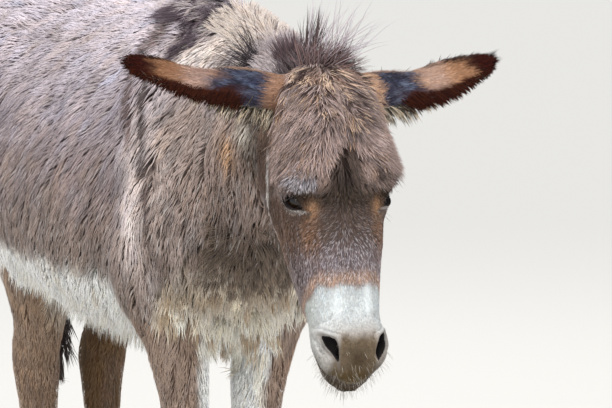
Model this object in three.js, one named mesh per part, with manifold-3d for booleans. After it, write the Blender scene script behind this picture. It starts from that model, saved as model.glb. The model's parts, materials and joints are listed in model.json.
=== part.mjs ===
// Life-size standing donkey (Equus asinus), an adult mouse-grey cross-backed donkey in a shaggy coat, head lowered and ears out to the sides.
// Millimetres, +Z up. The animal faces -Y, its left side is +X, and its four hooves stand on z = 0.
// The outer surface is the tips of the coat. The body is one blended form, described by contour lofts and a few
// muscle masses, meshed as closed solids and parted with thin cuts.
import * as THREE from "three";
import { mergeVertices } from "three/addons/utils/BufferGeometryUtils.js";
import Module from "manifold-3d";

const wasm = await Module();
wasm.setup();

// ---------------------------------------------------------------- driving sizes
const GAP = 0.4; // cut width between neighbouring solids
const HEAD_TILT = 14; // degrees: the face line leans this far forward of vertical
const HEAD_TURN = 0.5; // degrees: the head is turned this far to the animal's left
const POLL = [4, -528, 1059]; // where the face line starts, between the ears
const EYE = { a: 187, b: -39, c: 58, r: 19.5 }; // in head axes: down the face, out of the face, sideways
const EYE_OUT = [0, 0.48, 0.877], EYE_LONG = [0.6, 0.7, -0.383]; // the way the eye looks, and the long way of its opening
const EAR = { length: 245, base: [18, -58, 55] }; // length with hair, base in head axes
const EAR_WAY = { right: [0.963, 0.195, 0.186], left: [0.955, 0.215, 0.118] }; // sideways, backwards, up
const EAR_SAG = { right: 3, left: 15 }; // how far the middle of the ear hangs below the line from base to tip
const EAR_BACK = [0, -0.66, 0.75]; // the way the back of the ear looks
const FORE_STEP = { right: -38, left: 20 }; // each fore foot ahead (-) or behind (+) of square
const HIND_STEP = { right: -28, left: 22 };
const HOOF_FORE = { toe: -88, heel: 2, half: 37, height: 56, x: 66 };
const HOOF_HIND = { toe: 708, heel: 792, half: 35, height: 56, x: 66 };

// ---------------------------------------------------------------- small helpers
const clamp = (v, lo, hi) => (v < lo ? lo : v > hi ? hi : v);
const step = (lo, hi, v) => { const t = clamp((v - lo) / (hi - lo), 0, 1); return t * t * (3 - 2 * t); };
const smin = (a, b, k) => { const h = Math.max(k - Math.abs(a - b), 0) / k; return Math.min(a, b) - (h * h * k) / 4; };
const smax = (a, b, k) => -smin(-a, -b, k);
const rad = (deg) => (deg * Math.PI) / 180;
const norm3 = (v) => { const l = Math.hypot(...v); return v.map((q) => q / l); };
const dot3 = (a, b) => a[0] * b[0] + a[1] * b[1] + a[2] * b[2];
const cross3 = (a, b) => [a[1] * b[2] - a[2] * b[1], a[2] * b[0] - a[0] * b[2], a[0] * b[1] - a[1] * b[0]];

// A smooth curve through stations that never overshoots them, tabulated every millimetre.
function curve(xs, ys) {
  const n = xs.length, d = [], m = new Array(n).fill(0);
  for (let i = 0; i < n - 1; i++) d.push((ys[i + 1] - ys[i]) / (xs[i + 1] - xs[i]));
  m[0] = d[0]; m[n - 1] = d[n - 2];
  for (let i = 1; i < n - 1; i++) m[i] = d[i - 1] * d[i] <= 0 ? 0 : (2 * d[i - 1] * d[i]) / (d[i - 1] + d[i]);
  const count = Math.ceil(xs[n - 1] - xs[0]) + 1, table = new Float64Array(count);
  let i = 0;
  for (let k = 0; k < count; k++) {
    const x = Math.min(xs[0] + k, xs[n - 1]);
    while (i < n - 2 && x > xs[i + 1]) i++;
    const h = xs[i + 1] - xs[i], t = (x - xs[i]) / h, t2 = t * t, t3 = t2 * t;
    table[k] = (2 * t3 - 3 * t2 + 1) * ys[i] + (t3 - 2 * t2 + t) * h * m[i] + (-2 * t3 + 3 * t2) * ys[i + 1] + (t3 - t2) * h * m[i + 1];
  }
  return (x) => {
    const p = clamp(x - xs[0], 0, count - 1), k = Math.min(Math.floor(p), count - 2), f = p - k;
    return table[k] * (1 - f) + table[k + 1] * f;
  };
}

// A loft along one axis. Each row is a section: station, low contour, high contour, half width, level of the widest point, sideways centre.
class Loft {
  constructor(rows, powerHigh = 2, powerLow = 2) {
    const xs = rows.map((r) => r[0]), col = (j) => curve(xs, rows.map((r) => r[j]));
    this.first = xs[0]; this.last = xs[xs.length - 1];
    this.low = col(1); this.high = col(2); this.half = col(3); this.mid = col(4); this.side = col(5);
    this.ph = powerHigh; this.pl = powerLow;
  }
  distance(s, u, v) {
    const q = clamp(s, this.first, this.last), off = Math.abs(s - q);
    const mid = this.mid(q), du = u - mid, dv = v - this.side(q), up = du > 0;
    const h = up ? this.high(q) - mid : mid - this.low(q), w = this.half(q), p = up ? this.ph : this.pl;
    const a = Math.abs(du) / h, b = Math.abs(dv) / w, r = Math.hypot(du, dv);
    const g = p === 2 ? Math.hypot(a, b) : Math.pow(Math.pow(a, p) + Math.pow(b, p), 1 / p);
    const d = g < 1e-6 ? -Math.min(h, w) : r * (1 - 1 / g);
    return off === 0 ? d : d > 0 ? Math.hypot(d, off) : Math.max(d, off);
  }
}
function ball(x, y, z, rx, ry, rz) {
  const k0 = Math.hypot(x / rx, y / ry, z / rz), k1 = Math.hypot(x / (rx * rx), y / (ry * ry), z / (rz * rz));
  return k1 < 1e-9 ? -Math.min(rx, ry, rz) : (k0 * (k0 - 1)) / k1;
}
// A round-ended rod between two points whose radius changes from r0 to r1, flattened sideways by the factor flat.
function rod(p, a, b, r0, r1, flat = 1) {
  const ab = [b[0] - a[0], b[1] - a[1], b[2] - a[2]], ap = [p[0] - a[0], p[1] - a[1], p[2] - a[2]];
  const t = clamp(dot3(ap, ab) / dot3(ab, ab), 0, 1);
  return Math.hypot((ap[0] - ab[0] * t) * flat, ap[1] - ab[1] * t, ap[2] - ab[2] * t) - (r0 + (r1 - r0) * t);
}

// ---------------------------------------------------------------- sections of the body, with the coat on
// station y: belly, back, half width, widest level, side
const TRUNK = new Loft([
  [-222, 778, 812, 22, 792, 0], [-206, 728, 872, 76, 790, 0], [-168, 672, 948, 128, 790, 0], [-100, 616, 1030, 160, 800, 0],
  [-30, 582, 1092, 180, 812, 0], [30, 566, 1126, 194, 815, 0], [90, 556, 1133, 208, 810, 0], [180, 546, 1119, 230, 800, 0],
  [290, 540, 1108, 242, 790, 0], [400, 546, 1106, 248, 790, 0], [500, 566, 1113, 246, 800, 0], [590, 602, 1126, 240, 830, 0],
  [680, 652, 1132, 218, 860, 0], [760, 704, 1113, 188, 880, 0], [820, 756, 1068, 148, 895, 0], [856, 806, 1012, 98, 900, 0], [872, 880, 930, 30, 905, 0],
], 1.85, 2);
const NECK = new Loft([
  [70, 720, 1125, 105, 880, 0], [0, 700, 1130, 124, 875, 0], [-80, 690, 1128, 126, 878, 0], [-160, 716, 1118, 117, 892, 0],
  [-230, 756, 1106, 106, 912, 0], [-300, 806, 1091, 95, 934, 2], [-360, 850, 1076, 86, 956, 3], [-410, 884, 1062, 76, 975, 4],
  [-450, 915, 1042, 60, 986, 5], [-478, 965, 1004, 18, 988, 5],
].reverse(), 1.8, 2.1);
// station z: front, back, half width, middle, side
const FORELEG = new Loft([
  [28, -66, 4, 33, -30, 66], [54, -58, 6, 33, -26, 66], [74, -52, 14, 32, -20, 66], [96, -42, 28, 32, -8, 66], [120, -36, 36, 34, 0, 66], [146, -31, 33, 30, 2, 66],
  [200, -29, 28, 27, 0, 66], [270, -31, 27, 28, -2, 66], [308, -38, 30, 34, -4, 66], [340, -45, 38, 39, -4, 66], [368, -47, 36, 40, -6, 66],
  [405, -45, 33, 37, -6, 67], [455, -50, 36, 38, -8, 68], [520, -60, 46, 44, -8, 72], [585, -76, 60, 53, -8, 79], [645, -92, 74, 62, -8, 89],
  [710, -112, 82, 66, -12, 100], [770, -120, 70, 58, -20, 106],
]);
const HINDLEG = new Loft([
  [28, 730, 796, 33, 764, 66],   [54, 739, 800, 33, 770, 66], [74, 744, 812, 32, 778, 66], [96, 754, 828, 33, 792, 66], [122, 762, 836, 35, 800, 66], [150, 770, 830, 31, 800, 66],
  [210, 773, 824, 28, 798, 66], [300, 772, 826, 30, 798, 66], [350, 770, 836, 34, 802, 66], [395, 764, 856, 38, 806, 67], [430, 754, 868, 41, 808, 68],
  [458, 740, 868, 41, 800, 70], [492, 712, 840, 42, 775, 73], [540, 674, 812, 52, 742, 79], [592, 636, 806, 63, 720, 87], [645, 596, 816, 74, 706, 96],
  [700, 572, 838, 84, 700, 104], [770, 570, 858, 90, 705, 110], [850, 585, 866, 84, 715, 112],
]);
const TAIL = new Loft([
  [372, 894, 910, 6, 902, 0], [400, 886, 922, 18, 904, 0], [460, 882, 932, 26, 906, 0], [530, 882, 935, 28, 908, 0], [600, 886, 931, 24, 908, 0],
  [680, 888, 929, 20, 908, 0], [780, 888, 930, 20, 908, 0], [880, 884, 930, 22, 906, 0], [950, 862, 922, 26, 890, 0], [1000, 828, 900, 28, 862, 0], [1038, 800, 866, 20, 834, 0],
]);
// station y: foot of the mane, top of the mane, half width, widest level, side (it leans to the right)
const MANE = new Loft([
  [-492, 1010, 1046, 14, 1026, 2], [-474, 1000, 1078, 24, 1034, 0], [-440, 1000, 1098, 27, 1040, -4], [-380, 1020, 1104, 25, 1058, -9], [-300, 1040, 1112, 22, 1076, -13],
  [-200, 1060, 1126, 21, 1094, -15], [-100, 1080, 1140, 20, 1108, -14], [-20, 1090, 1146, 19, 1116, -11], [30, 1095, 1142, 14, 1118, -7],
]);
// Head axes. station a (down the face): jaw side, face side, half width, widest level, side
const HEAD = new Loft([
  [-22, -92, -50, 24, -72, 0], [-8, -122, -28, 48, -74, 0], [20, -156, -10, 65, -76, 0], [60, -188, 2, 76, -78, 0], [100, -206, 8, 81, -74, 0],
  [140, -215, 9, 82, -66, 0], [178, -213, 5, 79, -60, 0], [215, -200, 0, 75, -60, 0], [255, -180, -4, 71, -62, 0], [295, -158, -6, 65, -64, 0],
  [335, -138, -6, 58, -64, 0], [370, -126, -5, 54, -64, 0], [402, -119, -7, 53, -64, 0], [424, -116, -13, 47, -66, 0], [442, -111, -24, 38, -69, 0],
  [457, -101, -39, 28, -72, 0], [467, -88, -58, 13, -73, 0],
], 2.5, 2.05);
const FORELOCK = { side: 34, spread: 26, high: 17 }; // two lobes of hair, each this far from the middle of the forehead, parting downwards

const tilt = rad(HEAD_TILT), turn = rad(HEAD_TURN);
const spin = ([x, y, z]) => [x * Math.cos(turn) - y * Math.sin(turn), x * Math.sin(turn) + y * Math.cos(turn), z];
const HEAD_A = spin([0, -Math.sin(tilt), -Math.cos(tilt)]), HEAD_B = spin([0, -Math.cos(tilt), Math.sin(tilt)]), HEAD_C = spin([1, 0, 0]);
const toHead = (x, y, z) => { const d = [x - POLL[0], y - POLL[1], z - POLL[2]]; return [dot3(d, HEAD_A), dot3(d, HEAD_B), dot3(d, HEAD_C)]; };
const fromHead = (a, b, c) => [0, 1, 2].map((i) => POLL[i] + a * HEAD_A[i] + b * HEAD_B[i] + c * HEAD_C[i]);

function head(a, b, c) {
  const s = Math.abs(c);
  let f = HEAD.distance(a, b, c);
  f = smin(f, ball(a - 174, b + 34, s - 62, 36, 22, 22), 20); // brow over the eye
  f = smin(f, ball(a - 132, b + 136, s - 44, 84, 70, 30), 34); // cheek
  f = smin(f, rod([s, a, b], [66, 205, -60], [54, 300, -70], 11, 8), 18); // facial crest
  f = smin(f, ball(a - 410, b + 44, s - 38, 38, 32, 20), 18); // wing of the nostril
  f = smin(f, ball(a - 438, b + 60, c, 34, 33, 29), 20); // upper lip
  f = smin(f, ball(a - 425, b + 106, c, 38, 20, 30), 16); // chin and lower lip
  const lobe = (s - FORELOCK.side - FORELOCK.spread * step(70, 180, a)) / 34; // forelock, in two lobes
  f -= FORELOCK.high * Math.exp(-lobe * lobe) * step(-20, 90, a) * (1 - step(148, 188, a)) * step(-95, -30, b);
  f += 5 * Math.exp(-(((b + 92) / 6) ** 2)) * step(384, 408, a); // line of the mouth
  const along = (a - 410) * 0.88 - (s - 41) * 0.47, over = (a - 410) * 0.47 + (s - 41) * 0.88;
  f += 13 * Math.exp(-((along / 15) ** 2) - (over / 6.5) ** 2) * step(-62, -40, b); // nostril
  return f;
}

// One ear, in its own axes: along its length, out of its back, across.
const EAR_HALF = curve([-40, 0, 30, 80, 125, 165, 200, 222, 238, 245], [25, 27, 33, 38, 38, 34, 28, 22, 14, 8]);
const EAR_CURL = curve([-40, 0, 40, 100, 150, 200, 245], [20, 24, 25, 18, 12, 8, 4]);
const EAR_THICK = curve([-40, 0, 60, 140, 200, 245], [22, 18, 13, 11, 10, 9]);
function ear(t, q, s, sag) {
  const tt = clamp(t, -40, EAR.length), w = EAR_HALF(tt), c = EAR_CURL(tt), th = EAR_THICK(tt), u = clamp(tt / EAR.length, 0, 1);
  const level = c * (0.4 - (s / w) * (s / w)) - sag * 4 * u * (1 - u), slope = Math.hypot(1, (2 * c * s) / (w * w));
  const d = smax(Math.abs(q - level) / slope - th / 2, Math.abs(s) - w, 7);
  const off = Math.abs(t - tt);
  return off === 0 ? d : Math.max(d, off);
}
const EARS = [-1, 1].map((side) => {
  const w = EAR_WAY[side < 0 ? "right" : "left"], way = norm3([side * w[0], w[1], w[2]]);
  let back = EAR_BACK; const along = dot3(back, way);
  back = norm3(back.map((v, i) => v - along * way[i]));
  return { side, way, back, sag: EAR_SAG[side < 0 ? "right" : "left"], across: cross3(way, back), base: fromHead(EAR.base[0], EAR.base[1], side * EAR.base[2]) };
});
function earAt(e, x, y, z) {
  const d = [x - e.base[0], y - e.base[1], z - e.base[2]];
  return ear(dot3(d, e.way), dot3(d, e.back), dot3(d, e.across), e.sag);
}

// The parts of the blended form, each with a box outside which it is skipped, and the width of its blend.
const legShift = (z, amount) => amount * (1 - step(380, 820, z));
const PARTS = [
  { k: 1, box: [-270, -230, 530, 270, 890, 1140], f: (x, y, z) => TRUNK.distance(y, z, x) },
  { k: 70, box: [-135, -485, 685, 135, 75, 1135], f: (x, y, z) => NECK.distance(y, z, x) },
  { k: 55, box: [-190, -170, 640, 190, 120, 1120], f: (x, y, z) => { // shoulder blade and upper arm
    const p = [Math.abs(x), y, z];
    return smin(rod(p, [82, 20, 1030], [106, -118, 800], 48, 66), rod(p, [108, -118, 790], [104, 0, 672], 68, 58), 40);
  } },
  { k: 60, box: [-230, 480, 560, 230, 880, 1120], f: (x, y, z) => { // haunch, stifle and point of the hip
    const s = Math.abs(x);
    let f = ball(s - 112, y - 712, z - 868, 98, 168, 215);
    f = smin(f, ball(s - 86, y - 800, z - 830, 72, 66, 150), 40);
    f = smin(f, ball(s - 120, y - 622, z - 690, 62, 62, 88), 45);
    return smin(f, ball(s - 150, y - 590, z - 1010, 44, 58, 44), 50);
  } },
  { k: 42, box: [10, -180, 24, 175, 130, 775], f: (x, y, z) => FORELEG.distance(z, y - legShift(z, FORE_STEP.left), 66 + (x - 66) / (1 + 0.1 * step(380, 460, z))) },
  { k: 42, box: [-175, -180, 24, -10, 130, 775], f: (x, y, z) => FORELEG.distance(z, y - legShift(z, FORE_STEP.right), -x) },
  { k: 42, box: [10, 540, 24, 205, 920, 855], f: (x, y, z) => HINDLEG.distance(z, y - legShift(z, HIND_STEP.left), x) },
  { k: 42, box: [-205, 540, 24, -10, 920, 855], f: (x, y, z) => HINDLEG.distance(z, y - legShift(z, HIND_STEP.right), -x) },
  { k: 28, box: [-120, -680, 540, 120, -270, 1110], f: (x, y, z) => head(...toHead(x, y, z)) },
  { k: 12, box: [-32, -495, 995, 32, 35, 1150], f: (x, y, z) => MANE.distance(y, z, x) },
  { k: 12, box: [-40, 795, 370, 40, 940, 1040], f: (x, y, z) => TAIL.distance(z, y, x) },
  { k: 16, box: [-330, -520, 980, -20, -360, 1140], f: (x, y, z) => earAt(EARS[0], x, y, z) },
  { k: 16, box: [20, -520, 980, 330, -360, 1140], f: (x, y, z) => earAt(EARS[1], x, y, z) },
];
function boxDistance(b, x, y, z) {
  const dx = Math.max(b[0] - x, x - b[3], 0), dy = Math.max(b[1] - y, y - b[4], 0), dz = Math.max(b[2] - z, z - b[5], 0);
  return Math.hypot(dx, dy, dz);
}
export function donkey(x, y, z) {
  let f = 1e3;
  for (const p of PARTS) {
    const far = boxDistance(p.box, x, y, z);
    if (far > f + p.k) continue;
    if (f > 900 && far > 60) continue;
    f = f > 900 ? p.f(x, y, z) : smin(f, p.f(x, y, z), p.k);
  }
  return f;
}

// ---------------------------------------------------------------- meshing
// Closed triangle mesh of field < 0 inside a box, by marching tetrahedra.
const CORNERS = [[0, 0, 0], [1, 0, 0], [0, 1, 0], [1, 1, 0], [0, 0, 1], [1, 0, 1], [0, 1, 1], [1, 1, 1]];
const TETS = [[0, 1, 3, 7], [0, 3, 2, 7], [0, 2, 6, 7], [0, 6, 4, 7], [0, 4, 5, 7], [0, 5, 1, 7]];
function march(field, box, cell) {
  const [x0, y0, z0, x1, y1, z1] = box;
  const nx = Math.ceil((x1 - x0) / cell) + 3, ny = Math.ceil((y1 - y0) / cell) + 3, nz = Math.ceil((z1 - z0) / cell) + 3;
  const ox = x0 - cell, oy = y0 - cell, oz = z0 - cell, at = (i, j, k) => (k * ny + j) * nx + i;
  const inBox = (x, y, z) => Math.max(x0 - x, x - x1, y0 - y, y - y1, z0 - z, z - z1);
  const v = new Float32Array(nx * ny * nz).fill(50);
  const B = 4; // coarse blocks far from the surface keep one sign and are not sampled
  for (let k = 0; k < nz; k += B) for (let j = 0; j < ny; j += B) for (let i = 0; i < nx; i += B) {
    const cx = ox + (i + B / 2) * cell, cy = oy + (j + B / 2) * cell, cz = oz + (k + B / 2) * cell;
    const c = Math.max(field(cx, cy, cz), inBox(cx, cy, cz)), reach = B * cell * 0.9 * 2.2;
    const fill = Math.abs(c) > reach ? Math.sign(c) * 50 : null;
    for (let kk = k; kk < Math.min(k + B, nz); kk++) for (let jj = j; jj < Math.min(j + B, ny); jj++) for (let ii = i; ii < Math.min(i + B, nx); ii++) {
      const x = ox + ii * cell, y = oy + jj * cell, z = oz + kk * cell, b = inBox(x, y, z);
      let f = fill !== null ? Math.max(fill, b) : Math.max(field(x, y, z), b);
      if (Math.abs(f) < 1e-3) f = 1e-3;
      v[at(ii, jj, kk)] = f;
    }
  }
  const pos = [], tri = [], seen = new Map();
  const edge = (p, q) => { // p and q are [grid index, x, y, z, value]
    if (p[0] > q[0]) [p, q] = [q, p];
    const key = p[0] * 8 + (q[0] - p[0] === 1 ? 0 : q[0] - p[0] === nx ? 1 : q[0] - p[0] === nx + 1 ? 2 : q[0] - p[0] === nx * ny ? 3 : q[0] - p[0] === nx * ny + 1 ? 4 : q[0] - p[0] === nx * ny + nx ? 5 : 6);
    let id = seen.get(key);
    if (id === undefined) {
      const t = clamp(p[4] / (p[4] - q[4]), 0.02, 0.98);
      id = pos.length / 3; pos.push(p[1] + (q[1] - p[1]) * t, p[2] + (q[2] - p[2]) * t, p[3] + (q[3] - p[3]) * t);
      seen.set(key, id);
    }
    return id;
  };
  for (let k = 0; k < nz - 1; k++) for (let j = 0; j < ny - 1; j++) for (let i = 0; i < nx - 1; i++) {
    const base = at(i, j, k); let neg = 0;
    for (const c of CORNERS) if (v[base + (c[2] * ny + c[1]) * nx + c[0]] < 0) neg++;
    if (neg === 0 || neg === 8) continue;
    const pt = CORNERS.map((c) => { const id = base + (c[2] * ny + c[1]) * nx + c[0]; return [id, ox + (i + c[0]) * cell, oy + (j + c[1]) * cell, oz + (k + c[2]) * cell, v[id]]; });
    for (const t of TETS) {
      const ins = t.filter((q) => pt[q][4] < 0), out = t.filter((q) => pt[q][4] >= 0);
      if (!ins.length || !out.length) continue;
      const faces = [];
      if (ins.length === 1) faces.push(out.map((o) => edge(pt[ins[0]], pt[o])));
      else if (out.length === 1) faces.push(ins.map((o) => edge(pt[o], pt[out[0]])));
      else {
        const q = [edge(pt[ins[0]], pt[out[0]]), edge(pt[ins[0]], pt[out[1]]), edge(pt[ins[1]], pt[out[1]]), edge(pt[ins[1]], pt[out[0]])];
        faces.push([q[0], q[1], q[2]], [q[0], q[2], q[3]]);
      }
      const a = pt[ins[0]], b = pt[out[0]]; // from inside to outside
      for (const g of faces) {
        const P = g.map((id) => pos.slice(id * 3, id * 3 + 3));
        const n = cross3([P[1][0] - P[0][0], P[1][1] - P[0][1], P[1][2] - P[0][2]], [P[2][0] - P[0][0], P[2][1] - P[0][1], P[2][2] - P[0][2]]);
        let facing = 0;
        for (const o of out) for (const q of ins) facing += n[0] * (pt[o][1] - pt[q][1]) + n[1] * (pt[o][2] - pt[q][2]) + n[2] * (pt[o][3] - pt[q][3]);
        if (facing > 0) tri.push(g[0], g[1], g[2]); else tri.push(g[0], g[2], g[1]);
      }
    }
  }
  return { pos, tri };
}

// Fewer, larger triangles where the surface is flat: repeated edge collapse, cheapest first, by distance to the planes met so far.
function thin({ pos, tri }, target) {
  const P = Float64Array.from(pos), nv = P.length / 3, T = Int32Array.from(tri), nt = T.length / 3;
  const alive = new Uint8Array(nt).fill(1), ring = Array.from({ length: nv }, () => []), Q = new Float64Array(nv * 10), stamp = new Int32Array(nv);
  for (let t = 0; t < nt; t++) {
    const [a, b, c] = [T[3 * t], T[3 * t + 1], T[3 * t + 2]];
    const u = [0, 1, 2].map((i) => P[3 * b + i] - P[3 * a + i]), w = [0, 1, 2].map((i) => P[3 * c + i] - P[3 * a + i]);
    let n = cross3(u, w); const area = Math.hypot(...n) || 1e-12; n = n.map((q) => q / area);
    const d = -(n[0] * P[3 * a] + n[1] * P[3 * a + 1] + n[2] * P[3 * a + 2]), p = [n[0], n[1], n[2], d];
    for (const v of [a, b, c]) {
      ring[v].push(t);
      let m = 10 * v;
      for (let i = 0; i < 4; i++) for (let j = i; j < 4; j++) Q[m++] += p[i] * p[j] * area;
    }
  }
  const cost = (q, x, y, z) => q[0] * x * x + 2 * q[1] * x * y + 2 * q[2] * x * z + 2 * q[3] * x + q[4] * y * y + 2 * q[5] * y * z + 2 * q[6] * y + q[7] * z * z + 2 * q[8] * z + q[9];
  const best = (a, b) => {
    const q = new Float64Array(10); for (let i = 0; i < 10; i++) q[i] = Q[10 * a + i] + Q[10 * b + i];
    const [A, B, C, D, E, F, G, H, I] = q;
    const det = A * (E * H - F * F) - B * (B * H - F * C) + C * (B * F - E * C);
    const mx = (P[3 * a] + P[3 * b]) / 2, my = (P[3 * a + 1] + P[3 * b + 1]) / 2, mz = (P[3 * a + 2] + P[3 * b + 2]) / 2;
    const len = Math.hypot(P[3 * a] - P[3 * b], P[3 * a + 1] - P[3 * b + 1], P[3 * a + 2] - P[3 * b + 2]);
    let x = mx, y = my, z = mz;
    if (Math.abs(det) > 1e-4 * (A + E + H) ** 3 / 27) {
      const sx = -(D * (E * H - F * F) - B * (G * H - F * I) + C * (G * F - E * I)) / det;
      const sy = -(A * (G * H - I * F) - D * (B * H - F * C) + C * (B * I - G * C)) / det;
      const sz = -(A * (E * I - F * G) - B * (B * I - G * C) + D * (B * F - E * C)) / det;
      if (Math.hypot(sx - mx, sy - my, sz - mz) < len) [x, y, z] = [sx, sy, sz];
    }
    return [Math.max(cost(q, x, y, z), 0) + len * len * len * 1e-3, x, y, z];
  };
  // binary heap of [cost, a, b, stampA, stampB, x, y, z]
  const heap = []; const less = (i, j) => heap[i][0] < heap[j][0];
  const push = (e) => { heap.push(e); let i = heap.length - 1; while (i) { const p = (i - 1) >> 1; if (!less(i, p)) break; [heap[i], heap[p]] = [heap[p], heap[i]]; i = p; } };
  const pop = () => { const top = heap[0], last = heap.pop(); if (heap.length) { heap[0] = last; let i = 0; for (;;) { const l = 2 * i + 1, r = l + 1; let m = i; if (l < heap.length && less(l, m)) m = l; if (r < heap.length && less(r, m)) m = r; if (m === i) break; [heap[i], heap[m]] = [heap[m], heap[i]]; i = m; } } return top; };
  const neighbours = (v) => { const s = new Set(); for (const t of ring[v]) if (alive[t]) for (let i = 0; i < 3; i++) if (T[3 * t + i] !== v) s.add(T[3 * t + i]); return s; };
  const offer = (a, b) => { const [c, x, y, z] = best(a, b); push([c, a, b, stamp[a], stamp[b], x, y, z]); };
  for (let v = 0; v < nv; v++) for (const w of neighbours(v)) if (w > v) offer(v, w);
  const faceOf = (q) => cross3([q[1][0] - q[0][0], q[1][1] - q[0][1], q[1][2] - q[0][2]], [q[2][0] - q[0][0], q[2][1] - q[0][1], q[2][2] - q[0][2]]);
  const side2 = (p, q) => (p[0] - q[0]) ** 2 + (p[1] - q[1]) ** 2 + (p[2] - q[2]) ** 2;
  const shapeOf = (q, n) => Math.hypot(n[0], n[1], n[2]) / (Math.max(side2(q[0], q[1]), side2(q[1], q[2]), side2(q[2], q[0])) + 1e-9); // thin slivers come near 0
  const around = (v) => { // the average way the faces about a corner look
    const n = [0, 0, 0];
    for (const t of ring[v]) if (alive[t]) { const f = faceOf([0, 1, 2].map((i) => { const o = 3 * T[3 * t + i]; return [P[o], P[o + 1], P[o + 2]]; })); n[0] += f[0]; n[1] += f[1]; n[2] += f[2]; }
    return n;
  };
  let count = nt; const dead = new Uint8Array(nv);
  while (count > target && heap.length) {
    const [, a, b, sa, sb, x, y, z] = pop();
    if (dead[a] || dead[b] || stamp[a] !== sa || stamp[b] !== sb) continue;
    const na = neighbours(a), nb = neighbours(b); let common = 0; for (const v of na) if (nb.has(v)) common++;
    if (common !== 2) continue;
    let bad = false;
    for (const [v, other] of [[a, b], [b, a]]) {
      for (const t of ring[v]) {
        if (!alive[t]) continue;
        const ids = [T[3 * t], T[3 * t + 1], T[3 * t + 2]]; if (ids.includes(other)) continue;
        const old = ids.map((i) => [P[3 * i], P[3 * i + 1], P[3 * i + 2]]), now = ids.map((i, k) => (i === v ? [x, y, z] : old[k]));
        const n0 = faceOf(old), n1 = faceOf(now), l1 = Math.hypot(n1[0], n1[1], n1[2]);
        const s0 = shapeOf(old, n0), s1 = shapeOf(now, n1), ref = s0 < 0.05 ? around(v) : n0;
        if (dot3(ref, n1) < 0.2 * l1 * Math.hypot(ref[0], ref[1], ref[2]) || s1 < Math.min(0.07, s0 * 0.8)) { bad = true; break; }
      }
      if (bad) break;
    }
    if (bad) continue;
    P[3 * a] = x; P[3 * a + 1] = y; P[3 * a + 2] = z;
    for (let i = 0; i < 10; i++) Q[10 * a + i] += Q[10 * b + i];
    for (const t of ring[b]) {
      if (!alive[t]) continue;
      const o = 3 * t;
      if (T[o] === a || T[o + 1] === a || T[o + 2] === a) { alive[t] = 0; count--; continue; }
      for (let i = 0; i < 3; i++) if (T[o + i] === b) T[o + i] = a;
      ring[a].push(t);
    }
    ring[a] = ring[a].filter((t) => alive[t]); dead[b] = 1; ring[b] = []; stamp[a]++;
    for (const v of neighbours(a)) { ring[v] = ring[v].filter((t) => alive[t]); offer(Math.min(a, v), Math.max(a, v)); }
  }
  const map = new Map(), outPos = [], outTri = [];
  for (let t = 0; t < nt; t++) if (alive[t]) for (let i = 0; i < 3; i++) {
    const v = T[3 * t + i]; if (!map.has(v)) { map.set(v, outPos.length / 3); outPos.push(P[3 * v], P[3 * v + 1], P[3 * v + 2]); }
    outTri.push(map.get(v));
  }
  return { pos: outPos, tri: outTri };
}

// ---------------------------------------------------------------- joining and cutting
const toSolid = ({ pos, tri }) => new wasm.Manifold(new wasm.Mesh({ numProp: 3, vertProperties: Float32Array.from(pos), triVerts: Uint32Array.from(tri) }));
function solidOf(geometry, matrix) {
  const g = (geometry.index ? geometry.toNonIndexed() : geometry.clone());
  if (matrix) g.applyMatrix4(matrix);
  g.deleteAttribute("normal"); g.deleteAttribute("uv");
  const m = mergeVertices(g, 1e-3);
  return toSolid({ pos: m.attributes.position.array, tri: m.index.array });
}
function geometryOf(solid) {
  const m = solid.getMesh(), n = m.numProp, v = new Float32Array(m.numVert * 3);
  for (let i = 0; i < m.numVert; i++) v.set(m.vertProperties.subarray(i * n, i * n + 3), i * 3);
  const g = new THREE.BufferGeometry().setAttribute("position", new THREE.BufferAttribute(v, 3));
  g.setIndex(new THREE.BufferAttribute(Uint32Array.from(m.triVerts), 1)); g.computeVertexNormals();
  return g;
}
const biggest = (solid) => solid.decompose().sort((a, b) => b.volume() - a.volume())[0];
// The half space on the side that the normal points to, starting shift millimetres along it.
function halfSpace(point, normal, shift = 0) {
  const n = new THREE.Vector3(...normal).normalize(), size = 4000;
  const m = new THREE.Matrix4().makeRotationFromQuaternion(new THREE.Quaternion().setFromUnitVectors(new THREE.Vector3(0, 0, 1), n));
  const p = new THREE.Vector3(...point).addScaledVector(n, shift + size / 2);
  return solidOf(new THREE.BoxGeometry(size, size, size), new THREE.Matrix4().makeTranslation(p.x, p.y, p.z).multiply(m));
}
// A prism along X from a side view outline (y, z), between two x.
function sidePrism(shape, xa, xb, segments = 14) {
  const g = new THREE.ExtrudeGeometry(shape, { depth: xb - xa, bevelEnabled: false, curveSegments: segments });
  // the shape's own axes are (u, v, depth); they become (Y, Z, X)
  return solidOf(g, new THREE.Matrix4().set(0, 0, 1, xa, 1, 0, 0, 0, 0, 1, 0, 0, 0, 0, 0, 1));
}
// A prism along Y from a front view outline (x, z), between two y.
function frontPrism(points, ya, yb) {
  const g = new THREE.ExtrudeGeometry(new THREE.Shape(points.map(([x, z]) => new THREE.Vector2(x, z))), { depth: yb - ya, bevelEnabled: false });
  return solidOf(g, new THREE.Matrix4().set(1, 0, 0, 0, 0, 0, -1, yb, 0, 1, 0, 0, 0, 0, 0, 1));
}
const region = (box, cell, target, only) => toSolid(thin(march(only ? (x, y, z) => Math.max(donkey(x, y, z), only(x, y, z)) : donkey, box, cell), target));

const NECK_CUT = { point: fromHead(6, -86, 0), normal: [0, 1, 2].map((i) => 0.7 * HEAD_A[i] + 0.71 * HEAD_B[i]) }; // poll to throat
const CHEST_CUT = { point: [0, -62, 1130], normal: [0, -0.955, 0.295] }; // withers to breast
const EAR_CUT = 24; // up the ear from its base
const TAIL_CUT = { point: [0, 884, 990], normal: [0, 1, 0] }; // just behind the buttocks
const MANE_LINE = (y, lift) => NECK.high(clamp(y, -478, 70)) - 9 + lift;

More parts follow.
